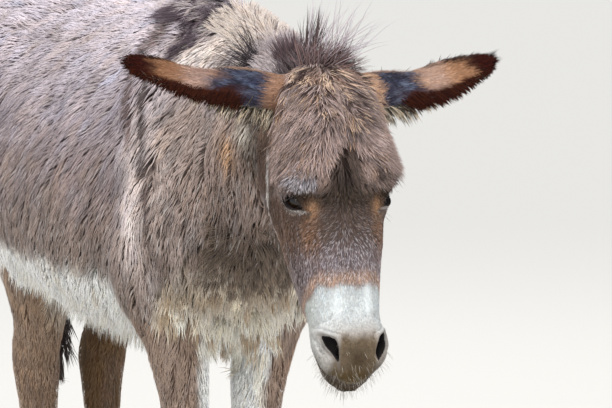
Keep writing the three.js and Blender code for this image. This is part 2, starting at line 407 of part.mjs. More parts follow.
// Side view outline of each limb, round at the top, with the sides straight down.
function limbOutline(front, back, zc, rise, grow = 0) {
  const s = new THREE.Shape(), yc = (front + back) / 2, ry = (back - front) / 2 + grow, n = 12;
  s.moveTo(yc - ry, -80); s.lineTo(yc + ry, -80);
  for (let i = 0; i <= n; i++) s.lineTo(yc + ry * Math.cos((i / n) * Math.PI), zc + (rise + grow) * Math.sin((i / n) * Math.PI));
  s.closePath();
  return s;
}
// Front view outline of each limb: from the groin out and up.
const limbFront = (side, groin, slope, grow = 0) => {
  const inner = GAP / 2 - grow / 2, wide = 420, lift = grow * Math.hypot(1, slope);
  const pts = [[inner, -80], [wide, -80], [wide, groin + slope * (wide - 24) + lift], [24, groin + lift], [inner, groin + lift]];
  return side > 0 ? pts : pts.map(([x, z]) => [-x, z]).reverse();
};
const FORE = { front: -152, back: 106, zc: 650, rise: 96, groin: 566, slope: 1.5 };
const HIND = { front: 552, back: TAIL_CUT.point[1] - GAP / 2, zc: 700, rise: 262, groin: 616, slope: 1.75 };
const limbCutter = (L, side, grow) =>
  sidePrism(limbOutline(L.front, L.back, L.zc, L.rise, grow), -500, 500)
    .intersect(frontPrism(limbFront(side, L.groin, L.slope, grow), L.front - 60, L.back + 60));
// The hocks reach back on either side of the tail, this far out and up.
const HOCK_ROOM = { out: 29, top: 560, back: 960 };
const boxSolid = (x0, y0, z0, x1, y1, z1) => solidOf(new THREE.BoxGeometry(x1 - x0, y1 - y0, z1 - z0), new THREE.Matrix4().makeTranslation((x0 + x1) / 2, (y0 + y1) / 2, (z0 + z1) / 2));
const hockRoom = (side, grow) => { const a = side * (HOCK_ROOM.out - grow), b = side * 300; return boxSolid(Math.min(a, b), TAIL_CUT.point[1] - 20, -80, Math.max(a, b), HOCK_ROOM.back, HOCK_ROOM.top + grow); };

// ---------------------------------------------------------------- the nodes
const group = new THREE.Group();
const coat = (r, g, b) => new THREE.MeshStandardMaterial({ color: new THREE.Color(r, g, b), roughness: 0.92, metalness: 0 });
const GREY = coat(0.3, 0.25, 0.215), PALE = coat(0.6, 0.56, 0.48), DARK = coat(0.1, 0.07, 0.06), RUST = coat(0.33, 0.2, 0.12);
const HORN = new THREE.MeshStandardMaterial({ color: new THREE.Color(0.12, 0.1, 0.085), roughness: 0.6, metalness: 0 });
const WET = new THREE.MeshStandardMaterial({ color: new THREE.Color(0.02, 0.012, 0.01), roughness: 0.08, metalness: 0 });
function add(name, solid, material) {
  const mesh = new THREE.Mesh(geometryOf(biggest(solid)), material); mesh.name = name; group.add(mesh); return mesh;
}

// Eyes and the sockets that hold them.
const eyes = [-1, 1].map((side) => ({ side, at: fromHead(EYE.a, EYE.b, side * EYE.c) }));
const sphere = (at, r, w = 12, h = 8) => solidOf(new THREE.SphereGeometry(r, w, h), new THREE.Matrix4().makeTranslation(...at));
let headSolid = region([-112, -690, 540, 112, -300, 1110], 6.2, 1550)
  .intersect(halfSpace(NECK_CUT.point, NECK_CUT.normal, GAP / 2));
for (const e of eyes) {
  const inWorld = ([a, b, c]) => new THREE.Vector3(...[0, 1, 2].map((i) => a * HEAD_A[i] + b * HEAD_B[i] + e.side * c * HEAD_C[i])).normalize();
  const way = inWorld(EYE_OUT), long = inWorld(EYE_LONG), high = new THREE.Vector3().crossVectors(way, long).normalize();
  const m = new THREE.Matrix4().makeBasis(long, high, way), lid = new THREE.SphereGeometry(1, 14, 8);
  m.setPosition(new THREE.Vector3(...e.at).addScaledVector(way, 24)).scale(new THREE.Vector3(23, 11, 24));
  headSolid = headSolid.subtract(sphere(e.at, EYE.r + GAP)).subtract(solidOf(lid, m));
  add(e.side < 0 ? "eye_right" : "eye_left", sphere(e.at, EYE.r), WET);
}
let earRoom = new wasm.Manifold(new wasm.Mesh({ numProp: 3, vertProperties: new Float32Array(0), triVerts: new Uint32Array(0) }));
for (const e of EARS) {
  const name = e.side < 0 ? "ear_right" : "ear_left", p = e.base.map((v, i) => v + e.way[i] * EAR_CUT);
  const box = e.side < 0 ? [-330, -520, 980, -56, -380, 1150] : [60, -520, 980, 330, -380, 1150];
  add(name, region(box, 4.5, 400, (x, y, z) => earAt(e, x, y, z) - 6).intersect(halfSpace(p, e.way, GAP / 2)), RUST);
  const sleeve = new THREE.CylinderGeometry(64, 64, 300, 24), turnTo = new THREE.Quaternion().setFromUnitVectors(new THREE.Vector3(0, 1, 0), new THREE.Vector3(...e.way));
  const middle = p.map((v, i) => v + e.way[i] * (150 - GAP / 2));
  earRoom = earRoom.add(solidOf(sleeve, new THREE.Matrix4().makeRotationFromQuaternion(turnTo).setPosition(...middle)));
}
add("head", headSolid.subtract(earRoom), GREY);

// Neck and mane. The mane is parted from the neck along the crest.
const maneShape = (lift) => {
  const s = new THREE.Shape(), ys = []; for (let y = -560; y <= 70; y += 21) ys.push(y);
  s.moveTo(ys[0], 1400); for (const y of ys) s.lineTo(y, MANE_LINE(y, lift)); s.lineTo(70, 1400); s.closePath();
  return s;
};
const maneBand = (lift) => sidePrism(maneShape(lift), -60, 60);
const behindHead = halfSpace(NECK_CUT.point, NECK_CUT.normal.map((v) => -v), GAP / 2);
const neckRaw = region([-150, -490, 680, 150, 50, 1160], 12, 700).intersect(behindHead)
  .intersect(halfSpace(CHEST_CUT.point, CHEST_CUT.normal, GAP / 2));
const maneRaw = region([-52, -500, 1020, 52, 50, 1160], 7.5, 560).intersect(behindHead).intersect(halfSpace(CHEST_CUT.point, CHEST_CUT.normal, GAP / 2));
add("mane", maneRaw.intersect(maneBand(GAP)), DARK);
add("neck", neckRaw.subtract(maneBand(0)).subtract(earRoom), GREY);

// Trunk, less the limbs and the tail.
let trunk = region([-280, -240, 520, 280, 900, 1160], 18, 1200)
  .intersect(halfSpace(CHEST_CUT.point, CHEST_CUT.normal.map((v) => -v), GAP / 2))
  .intersect(halfSpace(TAIL_CUT.point, TAIL_CUT.normal.map((v) => -v), GAP / 2));
for (const side of [-1, 1]) for (const L of [FORE, HIND]) trunk = trunk.subtract(limbCutter(L, side, GAP));
add("trunk", trunk, GREY);

const TUFT_TOP = 610;
const tail = region([-34, 864, 360, 34, 960, 1060], 7, 480).intersect(halfSpace(TAIL_CUT.point, TAIL_CUT.normal, GAP / 2))
  .subtract(hockRoom(-1, GAP)).subtract(hockRoom(1, GAP));
add("tail_dock", tail.intersect(halfSpace([0, 0, TUFT_TOP], [0, 0, 1], GAP / 2)), GREY);
add("tail_tuft", tail.intersect(halfSpace([0, 0, TUFT_TOP], [0, 0, -1], GAP / 2)), DARK);

// Limbs: upper part, lower part and hoof, cut at the knee or hock and at the coronet.
for (const side of [-1, 1]) {
  const which = side < 0 ? "right" : "left", lo = side < 0 ? -1 : 0, hi = side < 0 ? 0 : 1;
  for (const [L, H, stepBy, base, joint] of [[FORE, HOOF_FORE, FORE_STEP[which], "foreleg", 372], [HIND, HOOF_HIND, HIND_STEP[which], "hindleg", 452]]) {
    const front = L.front - 60, back = L.back + 60, yt = H.toe + stepBy, yh = H.heel + stepBy;
    const coronet = { point: [0, yt + 24, H.height], normal: [0, (H.height - 34), (H.heel - H.toe - 24)] };
    const low = base === "foreleg" ? 760 : 980, reach = base === "foreleg" ? 190 : 250;
    const upper = region([lo * reach, L.front - 14, joint - 12, hi * reach, L.back + 12, low], 10, base === "foreleg" ? 360 : 400);
    const lower = region([lo * 130, L.front - 14, 24, hi * 130, L.back + 30, joint + 12], 7, 320);
    const cutter = L === HIND ? limbCutter(L, side, 0).add(hockRoom(side, 0)) : limbCutter(L, side, 0);
    add(`${base}_${which}_upper`, upper.intersect(cutter).intersect(halfSpace([0, 0, joint], [0, 0, 1], GAP / 2)), GREY);
    add(`${base}_${which}_lower`, lower.intersect(cutter).intersect(halfSpace([0, 0, joint], [0, 0, -1], GAP / 2)).intersect(halfSpace(coronet.point, coronet.normal, GAP / 2)), GREY);
    // the hoof: a leaning cone of horn, wider at the ground, with a flat sole
    const rings = [], around = 16, levels = 2, yc = (yt + yh) / 2;
    for (let k = 0; k <= levels; k++) for (let i = 0; i < around; i++) {
      const t = k / levels, ang = (i / around) * 2 * Math.PI, lean = 1 - 0.2 * t;
      const fwd = Math.cos(ang), sw = Math.sin(ang);
      const len = ((yh - yt) / 2) * (fwd < 0 ? 1 : 0.94) * lean, z0 = t * H.height * 1.0;
      const y = yc + 13 * t + fwd * len, z = t === 0 ? 0 : z0 - (t * (fwd + 1) * 11);
      rings.push(side * H.x + sw * H.half * (1 - 0.12 * t), y, z);
    }
    const tri = [];
    for (let k = 0; k < levels; k++) for (let i = 0; i < around; i++) {
      const a = k * around + i, b = k * around + ((i + 1) % around), c = a + around, d = b + around;
      tri.push(a, b, d, a, d, c);
    }
    const bottom = rings.length / 3; rings.push(side * H.x, yc, 0); const top = bottom + 1; rings.push(side * H.x, yc + 13, H.height - 11);
    for (let i = 0; i < around; i++) { const j = (i + 1) % around; tri.push(bottom, j, i, top, levels * around + i, levels * around + j); }
    let hoof = toSolid({ pos: rings, tri }); if (hoof.volume() < 0) hoof = toSolid({ pos: rings, tri: tri.map((_, i) => tri[i - (i % 3) + [0, 2, 1][i % 3]]) });
    hoof = hoof.intersect(halfSpace(coronet.point, coronet.normal.map((v) => -v), GAP / 2));
    add(`hoof_${base === "foreleg" ? "fore" : "hind"}_${which}`, hoof, HORN);
  }
}

// Stand the model with the middle of its box over the origin and the soles on z = 0.
const box = new THREE.Box3().setFromObject(group);
export const SHIFT = [-(box.min.x + box.max.x) / 2, -(box.min.y + box.max.y) / 2, -box.min.z];
group.position.set(...SHIFT);
export default group;
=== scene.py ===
# Life-size donkey: the skin, coat, mane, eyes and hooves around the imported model.
# Lengths below are in millimetres in the model's own design frame, and are moved to the row frame in metres by to_row().
import bpy
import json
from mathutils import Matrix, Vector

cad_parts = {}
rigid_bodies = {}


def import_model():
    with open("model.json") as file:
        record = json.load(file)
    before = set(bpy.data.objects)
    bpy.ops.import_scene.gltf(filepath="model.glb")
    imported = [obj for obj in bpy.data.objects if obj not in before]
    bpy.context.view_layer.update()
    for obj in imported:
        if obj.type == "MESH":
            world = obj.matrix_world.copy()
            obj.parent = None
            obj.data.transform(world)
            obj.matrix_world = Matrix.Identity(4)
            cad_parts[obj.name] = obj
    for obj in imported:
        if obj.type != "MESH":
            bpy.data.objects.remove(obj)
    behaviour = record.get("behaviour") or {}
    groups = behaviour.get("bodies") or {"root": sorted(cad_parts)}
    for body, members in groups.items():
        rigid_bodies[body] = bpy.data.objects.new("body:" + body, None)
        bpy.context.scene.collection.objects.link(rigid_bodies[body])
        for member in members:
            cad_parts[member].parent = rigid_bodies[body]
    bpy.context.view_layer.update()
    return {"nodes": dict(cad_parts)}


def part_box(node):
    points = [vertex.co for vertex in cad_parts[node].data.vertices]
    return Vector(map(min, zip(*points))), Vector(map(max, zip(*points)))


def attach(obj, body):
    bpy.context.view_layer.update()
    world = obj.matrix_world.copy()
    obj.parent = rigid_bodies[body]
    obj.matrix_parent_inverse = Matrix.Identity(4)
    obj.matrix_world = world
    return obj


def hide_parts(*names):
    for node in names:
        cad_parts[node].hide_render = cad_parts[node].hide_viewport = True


for _o in list(bpy.data.objects):  # start from an empty scene
    bpy.data.objects.remove(_o)
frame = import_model()

import json
import math
import time

import numpy as np
from mathutils import Matrix, Vector, kdtree

T0 = time.time()


def say(*words):
    print(f"[{time.time() - T0:5.1f}s]", *words, flush=True)


# ------------------------------------------------------------------ the body as one blended form, in mm
# The animal faces -Y, its left is +X, +Z up. The field is negative inside the outline of the coat's tips.
HEAD_TILT, HEAD_TURN = 14.0, 0.5
POLL = np.array([4.0, -528.0, 1059.0])
EYE_A, EYE_B, EYE_C, EYE_R = 187.0, -39.0, 58.0, 19.5
EYE_OUT, EYE_LONG = (0.0, 0.48, 0.877), (0.6, 0.7, -0.383)
EAR_LENGTH, EAR_BASE = 245.0, (18.0, -58.0, 55.0)
EAR_WAY = {-1: (0.963, 0.195, 0.186), 1: (0.955, 0.215, 0.118)}
EAR_SAG = {-1: 3.0, 1: 15.0}
EAR_BACK = (0.0, -0.66, 0.75)
FORE_STEP, HIND_STEP = {-1: -38.0, 1: 20.0}, {-1: -28.0, 1: 22.0}


def clamp(v, lo, hi):
    return np.minimum(np.maximum(v, lo), hi)


def step(lo, hi, v):
    t = clamp((v - lo) / (hi - lo), 0.0, 1.0)
    return t * t * (3 - 2 * t)


def smin(a, b, k):
    h = np.maximum(k - np.abs(a - b), 0) / k
    return np.minimum(a, b) - h * h * k / 4


def smax(a, b, k):
    return -smin(-a, -b, k)


def unit(v):
    v = np.asarray(v, float)
    return v / np.maximum(np.linalg.norm(v, axis=-1, keepdims=True), 1e-12)


class Curve:
    """A smooth curve through stations that never overshoots them, tabulated every millimetre."""

    def __init__(self, xs, ys):
        n = len(xs)
        d = [(ys[i + 1] - ys[i]) / (xs[i + 1] - xs[i]) for i in range(n - 1)]
        m = [0.0] * n
        m[0], m[-1] = d[0], d[-1]
        for i in range(1, n - 1):
            m[i] = 0.0 if d[i - 1] * d[i] <= 0 else 2 * d[i - 1] * d[i] / (d[i - 1] + d[i])
        count = math.ceil(xs[-1] - xs[0]) + 1
        x = np.minimum(xs[0] + np.arange(count), xs[-1])
        i = clamp(np.searchsorted(xs, x, side="left") - 1, 0, n - 2).astype(int)
        xs_, ys_, m_ = np.array(xs, float), np.array(ys, float), np.array(m)
        h = xs_[i + 1] - xs_[i]
        t = (x - xs_[i]) / h
        t2, t3 = t * t, t * t * t
        self.y = (2 * t3 - 3 * t2 + 1) * ys_[i] + (t3 - 2 * t2 + t) * h * m_[i] + (-2 * t3 + 3 * t2) * ys_[i + 1] + (t3 - t2) * h * m_[i + 1]
        self.x = xs[0] + np.arange(count)

    def __call__(self, x):
        return np.interp(x, self.x, self.y)


class Loft:
    """A loft along one axis: station, low contour, high contour, half width, level of the widest point, sideways centre."""

    def __init__(self, rows, ph=2.0, pl=2.0):
        xs = [r[0] for r in rows]
        self.first, self.last, self.ph, self.pl = xs[0], xs[-1], ph, pl
        self.low, self.high, self.half, self.mid, self.side = (Curve(xs, [r[j] for r in rows]) for j in range(1, 6))

    def distance(self, s, u, v):
        q = clamp(s, self.first, self.last)
        off = np.abs(s - q)
        mid = self.mid(q)
        du, dv = u - mid, v - self.side(q)
        up = du > 0
        h = np.where(up, self.high(q) - mid, mid - self.low(q))
        w = self.half(q)
        a, b, r = np.abs(du) / h, np.abs(dv) / w, np.hypot(du, dv)
        if self.ph == 2 and self.pl == 2:
            g = np.hypot(a, b)
        else:
            p = np.where(up, self.ph, self.pl)
            g = (np.maximum(a, 1e-9) ** p + np.maximum(b, 1e-9) ** p) ** (1 / p)
        d = np.where(g < 1e-6, -np.minimum(h, w), r * (1 - 1 / np.maximum(g, 1e-6)))
        return np.where(off == 0, d, np.where(d > 0, np.hypot(d, off), np.maximum(d, off)))


def ball(x, y, z, rx, ry, rz):
    k0 = np.sqrt((x / rx) ** 2 + (y / ry) ** 2 + (z / rz) ** 2)
    k1 = np.sqrt((x / rx**2) ** 2 + (y / ry**2) ** 2 + (z / rz**2) ** 2)
    return np.where(k1 < 1e-9, -min(rx, ry, rz), k0 * (k0 - 1) / np.maximum(k1, 1e-9))


def rod(p, a, b, r0, r1):
    a, b = np.array(a, float), np.array(b, float)
    ab = b - a
    ap = p - a
    t = clamp(ap @ ab / (ab @ ab), 0, 1)
    return np.linalg.norm(ap - t[:, None] * ab, axis=1) - (r0 + (r1 - r0) * t)


def rows(text, width=6):
    v = [float(t) for t in text.split()]
    return [v[i:i + width] for i in range(0, len(v), width)]


TRUNK = Loft(rows("""-222 778 812 22 792 0  -206 728 872 76 790 0  -168 672 948 128 790 0  -100 616 1030 160 800 0  -30 582 1092 180 812 0
 30 566 1126 194 815 0  90 556 1133 208 810 0  180 546 1119 230 800 0  290 540 1108 242 790 0  400 546 1106 248 790 0  500 566 1113 246 800 0
 590 602 1126 240 830 0  680 652 1132 218 860 0  760 704 1113 188 880 0  820 756 1068 148 895 0  856 806 1012 98 900 0  872 880 930 30 905 0"""), 1.85, 2.0)
NECK = Loft(rows("""-478 965 1004 18 988 5  -450 915 1042 60 986 5  -410 884 1062 76 975 4  -360 850 1076 86 956 3  -300 806 1091 95 934 2
 -230 756 1106 106 912 0  -160 716 1118 117 892 0  -80 690 1128 126 878 0  0 700 1130 124 875 0  70 720 1125 105 880 0"""), 1.8, 2.1)
FORELEG = Loft(rows("""28 -66 4 33 -30 66  54 -58 6 33 -26 66  74 -52 14 32 -20 66  96 -42 28 32 -8 66  120 -36 36 34 0 66  146 -31 33 30 2 66
 200 -29 28 27 0 66  270 -31 27 28 -2 66  308 -38 30 34 -4 66  340 -45 38 39 -4 66  368 -47 36 40 -6 66  405 -45 33 37 -6 67
 455 -50 36 38 -8 68  520 -60 46 44 -8 72  585 -76 60 53 -8 79  645 -92 74 62 -8 89  710 -112 82 66 -12 100  770 -120 70 58 -20 106"""))
HINDLEG = Loft(rows("""28 730 796 33 764 66  54 739 800 33 770 66  74 744 812 32 778 66  96 754 828 33 792 66  122 762 836 35 800 66  150 770 830 31 800 66
 210 773 824 28 798 66  300 772 826 30 798 66  350 770 836 34 802 66  395 764 856 38 806 67  430 754 868 41 808 68
 458 740 868 41 800 70  492 712 840 42 775 73  540 674 812 52 742 79  592 636 806 63 720 87  645 596 816 74 706 96
 700 572 838 84 700 104  770 570 858 90 705 110  850 585 866 84 715 112"""))
TAIL = Loft(rows("""372 894 910 6 902 0  400 886 922 18 904 0  460 882 932 26 906 0  530 882 935 28 908 0  600 886 931 24 908 0
 680 888 929 20 908 0  780 888 930 20 908 0  880 884 930 22 906 0  950 862 922 26 890 0  1000 828 900 28 862 0  1038 800 866 20 834 0"""))
MANE = Loft(rows("""-492 1010 1046 14 1026 2  -474 1000 1078 24 1034 0  -440 1000 1098 27 1040 -4  -380 1020 1104 25 1058 -9  -300 1040 1112 22 1076 -13
 -200 1060 1126 21 1094 -15  -100 1080 1140 20 1108 -14  -20 1090 1146 19 1116 -11  30 1095 1142 14 1118 -7"""))
HEAD = Loft(rows("""-22 -92 -50 24 -72 0  -8 -122 -28 48 -74 0  20 -156 -10 65 -76 0  60 -188 2 76 -78 0  100 -206 8 81 -74 0
 140 -215 9 82 -66 0  178 -213 5 79 -60 0  215 -200 0 75 -60 0  255 -180 -4 71 -62 0  295 -158 -6 65 -64 0
 335 -138 -6 58 -64 0  370 -126 -5 54 -64 0  402 -119 -7 53 -64 0  424 -116 -13 47 -66 0  442 -111 -24 38 -69 0
 457 -101 -39 28 -72 0  467 -88 -58 13 -73 0"""), 2.5, 2.05)

_t, _s = math.radians(HEAD_TILT), math.radians(HEAD_TURN)
_spin = np.array([[math.cos(_s), -math.sin(_s), 0], [math.sin(_s), math.cos(_s), 0], [0, 0, 1.0]])
HEAD_A = _spin @ [0, -math.sin(_t), -math.cos(_t)]
HEAD_B = _spin @ [0, -math.cos(_t), math.sin(_t)]
HEAD_C = _spin @ [1.0, 0, 0]
HEAD_AXES = np.array([HEAD_A, HEAD_B, HEAD_C])


def to_head(P):
    return (P - POLL) @ HEAD_AXES.T


def from_head(q):
    return POLL + np.asarray(q, float) @ HEAD_AXES


def lobes(a, b, s):
    lobe = (s - 34 - 26 * step(70, 180, a)) / 34
    return np.exp(-lobe * lobe) * step(-20, 90, a) * (1 - step(148, 188, a)) * step(-95, -30, b)


def head(P):
    a, b, c = to_head(P).T
    s = np.abs(c)
    f = HEAD.distance(a, b, c)
    f = smin(f, ball(a - 174, b + 34, s - 62, 36, 22, 22), 20)
    f = smin(f, ball(a - 132, b + 136, s - 44, 84, 70, 30), 34)
    f = smin(f, rod(np.stack([s, a, b], 1), (66, 205, -60), (54, 300, -70), 11, 8), 18)
    f = smin(f, ball(a - 410, b + 44, s - 38, 38, 32, 20), 18)
    f = smin(f, ball(a - 438, b + 60, c, 34, 33, 29), 20)
    f = smin(f, ball(a - 425, b + 106, c, 38, 20, 30), 16)
    f = f - 17 * lobes(a, b, s)
    f = f + 5 * np.exp(-(((b + 92) / 6) ** 2)) * step(384, 408, a)
    along, over = (a - 410) * 0.88 - (s - 41) * 0.47, (a - 410) * 0.47 + (s - 41) * 0.88
    return f + 13 * np.exp(-((along / 15) ** 2) - (over / 6.5) ** 2) * step(-62, -40, b)


EAR_HALF = Curve([-40, 0, 30, 80, 125, 165, 200, 222, 238, 245], [25, 27, 33, 38, 38, 34, 28, 22, 14, 8])
EAR_CURL = Curve([-40, 0, 40, 100, 150, 200, 245], [20, 24, 25, 18, 12, 8, 4])
EAR_THICK = Curve([-40, 0, 60, 140, 200, 245], [22, 18, 13, 11, 10, 9])


def ear_frame(side):
    w = EAR_WAY[side]
    way = unit([side * w[0], w[1], w[2]])
    back = np.array(EAR_BACK)
    back = unit(back - (back @ way) * way)
    return way, back, np.cross(way, back), from_head((EAR_BASE[0], EAR_BASE[1], side * EAR_BASE[2]))


EAR_FRAMES = {s: ear_frame(s) for s in (-1, 1)}


def to_ear(P, side):
    way, back, across, base = EAR_FRAMES[side]
    d = P - base
    return d @ way, d @ back, d @ across


def ear(P, side):
    t, q, s = to_ear(P, side)
    tt = clamp(t, -40, EAR_LENGTH)
    w, c, th, u = EAR_HALF(tt), EAR_CURL(tt), EAR_THICK(tt), clamp(tt / EAR_LENGTH, 0, 1)
    level = c * (0.4 - (s / w) ** 2) - EAR_SAG[side] * 4 * u * (1 - u)
    slope = np.hypot(1, 2 * c * s / (w * w))
    d = smax(np.abs(q - level) / slope - th / 2, np.abs(s) - w, 7)
    off = np.abs(t - tt)
    return np.where(off == 0, d, np.maximum(d, off))


def leg_shift(z, amount):
    return amount * (1 - step(380, 820, z))


def trunk(P):
    return TRUNK.distance(P[:, 1], P[:, 2], P[:, 0])


def neck(P):
    return NECK.distance(P[:, 1], P[:, 2], P[:, 0])


def shoulder(P):
    p = P.copy()
    p[:, 0] = np.abs(p[:, 0])
    return smin(rod(p, (82, 20, 1030), (106, -118, 800), 48, 66), rod(p, (108, -118, 790), (104, 0, 672), 68, 58), 40)


def haunch(P):
    s, y, z = np.abs(P[:, 0]), P[:, 1], P[:, 2]
    f = ball(s - 112, y - 712, z - 868, 98, 168, 215)
    f = smin(f, ball(s - 86, y - 800, z - 830, 72, 66, 150), 40)
    f = smin(f, ball(s - 120, y - 622, z - 690, 62, 62, 88), 45)
    return smin(f, ball(s - 150, y - 590, z - 1010, 44, 58, 44), 50)


def foreleg(P, side):
    x, y, z = P[:, 0] * side, P[:, 1], P[:, 2]
    if side > 0:
        x = 66 + (x - 66) / (1 + 0.1 * step(380, 460, z))
    return FORELEG.distance(z, y - leg_shift(z, FORE_STEP[side]), x)


def hindleg(P, side):
    return HINDLEG.distance(P[:, 2], P[:, 1] - leg_shift(P[:, 2], HIND_STEP[side]), P[:, 0] * side)


PARTS = [
    ("trunk", 1, (-270, -230, 530, 270, 890, 1140), trunk),
    ("neck", 70, (-135, -485, 685, 135, 75, 1135), neck),
    ("shoulder", 55, (-190, -170, 640, 190, 120, 1120), shoulder),
    ("haunch", 60, (-230, 480, 560, 230, 880, 1120), haunch),
    ("fore_left", 42, (10, -180, 24, 175, 130, 775), lambda P: foreleg(P, 1)),
    ("fore_right", 42, (-175, -180, 24, -10, 130, 775), lambda P: foreleg(P, -1)),
    ("hind_left", 42, (10, 540, 24, 205, 920, 855), lambda P: hindleg(P, 1)),
    ("hind_right", 42, (-205, 540, 24, -10, 920, 855), lambda P: hindleg(P, -1)),
    ("head", 28, (-120, -680, 540, 120, -270, 1110), head),
    ("mane", 12, (-32, -495, 995, 32, 35, 1150), lambda P: MANE.distance(P[:, 1], P[:, 2], P[:, 0])),
    ("tail", 12, (-40, 795, 370, 40, 940, 1040), lambda P: TAIL.distance(P[:, 2], P[:, 1], P[:, 0])),
    ("ear_right", 16, (-330, -520, 980, -20, -360, 1140), lambda P: ear(P, -1)),
    ("ear_left", 16, (20, -520, 980, 330, -360, 1140), lambda P: ear(P, 1)),
]


def outline(P, skip=()):
    """The blended form. Negative inside."""
    f = np.full(len(P), 1e3)
    for name, k, box, fn in PARTS:
        if name in skip:
            continue
        lo, hi = np.array(box[:3]), np.array(box[3:])
        far = np.linalg.norm(np.maximum(np.maximum(lo - P, P - hi), 0), axis=1)
        i = np.nonzero((far <= f + k) & ~((f > 900) & (far > 60)))[0]
        if len(i) == 0:
            continue
        v, old = fn(P[i]), f[i]
        f[i] = np.where(old > 900, v, smin(old, v, k))
    return f

# ------------------------------------------------------------------ where the design frame lies in the row frame
def node_middle(node):
    lo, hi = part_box(node)
    return (np.array(lo) + np.array(hi)) / 2


EYES = {s: from_head((EYE_A, EYE_B, s * EYE_C)) for s in (-1, 1)}
SHIFT = (node_middle("eye_right") + node_middle("eye_left")) / 2 - (EYES[-1] + EYES[1]) / 2 * 0.001


def to_row(P):
    return np.asarray(P, float) * 0.001 + SHIFT


rng = np.random.default_rng(7)


# ------------------------------------------------------------------ smooth noise
def lattice_noise(P, size, seed):
    """Smooth random values between -1 and 1 that change over about size millimetres."""
    q = np.asarray(P, float) / size
    i = np.floor(q).astype(np.int64)
    f = q - i
    f = f * f * (3 - 2 * f)
    total = np.zeros(len(q))
    for dx in (0, 1):
        for dy in (0, 1):
            for dz in (0, 1):
                h = ((i[:, 0] + dx) * 73856093) ^ ((i[:, 1] + dy) * 19349663) ^ ((i[:, 2] + dz) * 83492791) ^ (seed * 2654435761)
                h = (h ^ (h >> 13)) * 1274126177 & 0x7FFFFFFF
                h = (h ^ (h >> 16)) & 0xFFFF
                w = (f[:, 0] if dx else 1 - f[:, 0]) * (f[:, 1] if dy else 1 - f[:, 1]) * (f[:, 2] if dz else 1 - f[:, 2])
                total += w * (h / 32767.5 - 1)
    return total


# ------------------------------------------------------------------ how deep the coat is, and the skin under it
def in_head(P):
    """1 on the head, 0 on the neck behind it, softly between."""
    out = np.zeros(len(P))
    i = np.nonzero((P[:, 1] < -250) & (P[:, 2] > 520))[0]
    if len(i):
        Q = P[i]
        h, n = head(Q), neck(Q)
        out[i] = step(-12, 14, n - h)
    return out


def ear_share(P):
    """1 on an ear, 0 elsewhere."""
    out = np.zeros(len(P))
    for s in (-1, 1):
        t, q, c = to_ear(P, s)
        i = np.nonzero((t > -30) & (t < EAR_LENGTH + 30) & (np.abs(q) < 60) & (np.abs(c) < 70))[0]
        if len(i):
            e = ear(P[i], s)
            out[i] = np.maximum(out[i], step(-24, 6, t[i]) * (1 - step(3, 15, e)))
    return out


def coat_depth(P):
    """How far the skin lies inside the tips of the coat."""
    x, y, z = P.T
    a, b, c = to_head(P).T
    s = np.abs(c)
    d = 17 + 9 * np.exp(-(((z - 590) / 60) ** 2)) * step(60, 140, y) * (1 - step(520, 600, y))
    chest = (1 - step(-120, -50, y)) * (1 - step(820, 900, z)) * step(560, 640, z)
    d = d + 7 * chest
    limb = np.interp(z, [30, 100, 250, 380, 470, 560, 680], [2.0, 4.2, 4.2, 5.2, 7, 11, 17])
    keep = step(70, 140, y) * (1 - step(520, 590, y))
    d = d + (limb - d) * (1 - step(590, 690, z)) * (1 - keep)
    d = d + (13 - d) * (1 - step(-420, -330, y)) * step(700, 760, z)
    h = in_head(P)
    face = np.interp(a, [-30, 40, 150, 195, 230, 300, 340, 380, 470], [9, 9, 8, 4.2, 3.2, 3.0, 1.8, 1.1, 0.9])
    side = np.interp(a, [-30, 40, 150, 230, 300, 350, 400, 470], [9, 8, 7, 6, 5, 2.4, 1.2, 0.9])
    face = face + (side - face) * (1 - step(-100, -40, b))
    face = face + 12 * lobes(a, b, s)
    d = d + (face - d) * h
    for side_ in (-1, 1):
        e = np.linalg.norm(P - EYES[side_], axis=1)
        d = d + (1.2 - d) * (1 - step(26, 46, e))
    d = d + (1.4 - d) * ear_share(P)
    tail = (1 - step(2, 14, TAIL.distance(z, y, x))) * step(850, 890, y)
    return d + (np.where(z < 610, 13.0, 11.0) - d) * tail


LID_UP, LID_DOWN = 12.4, 9.8


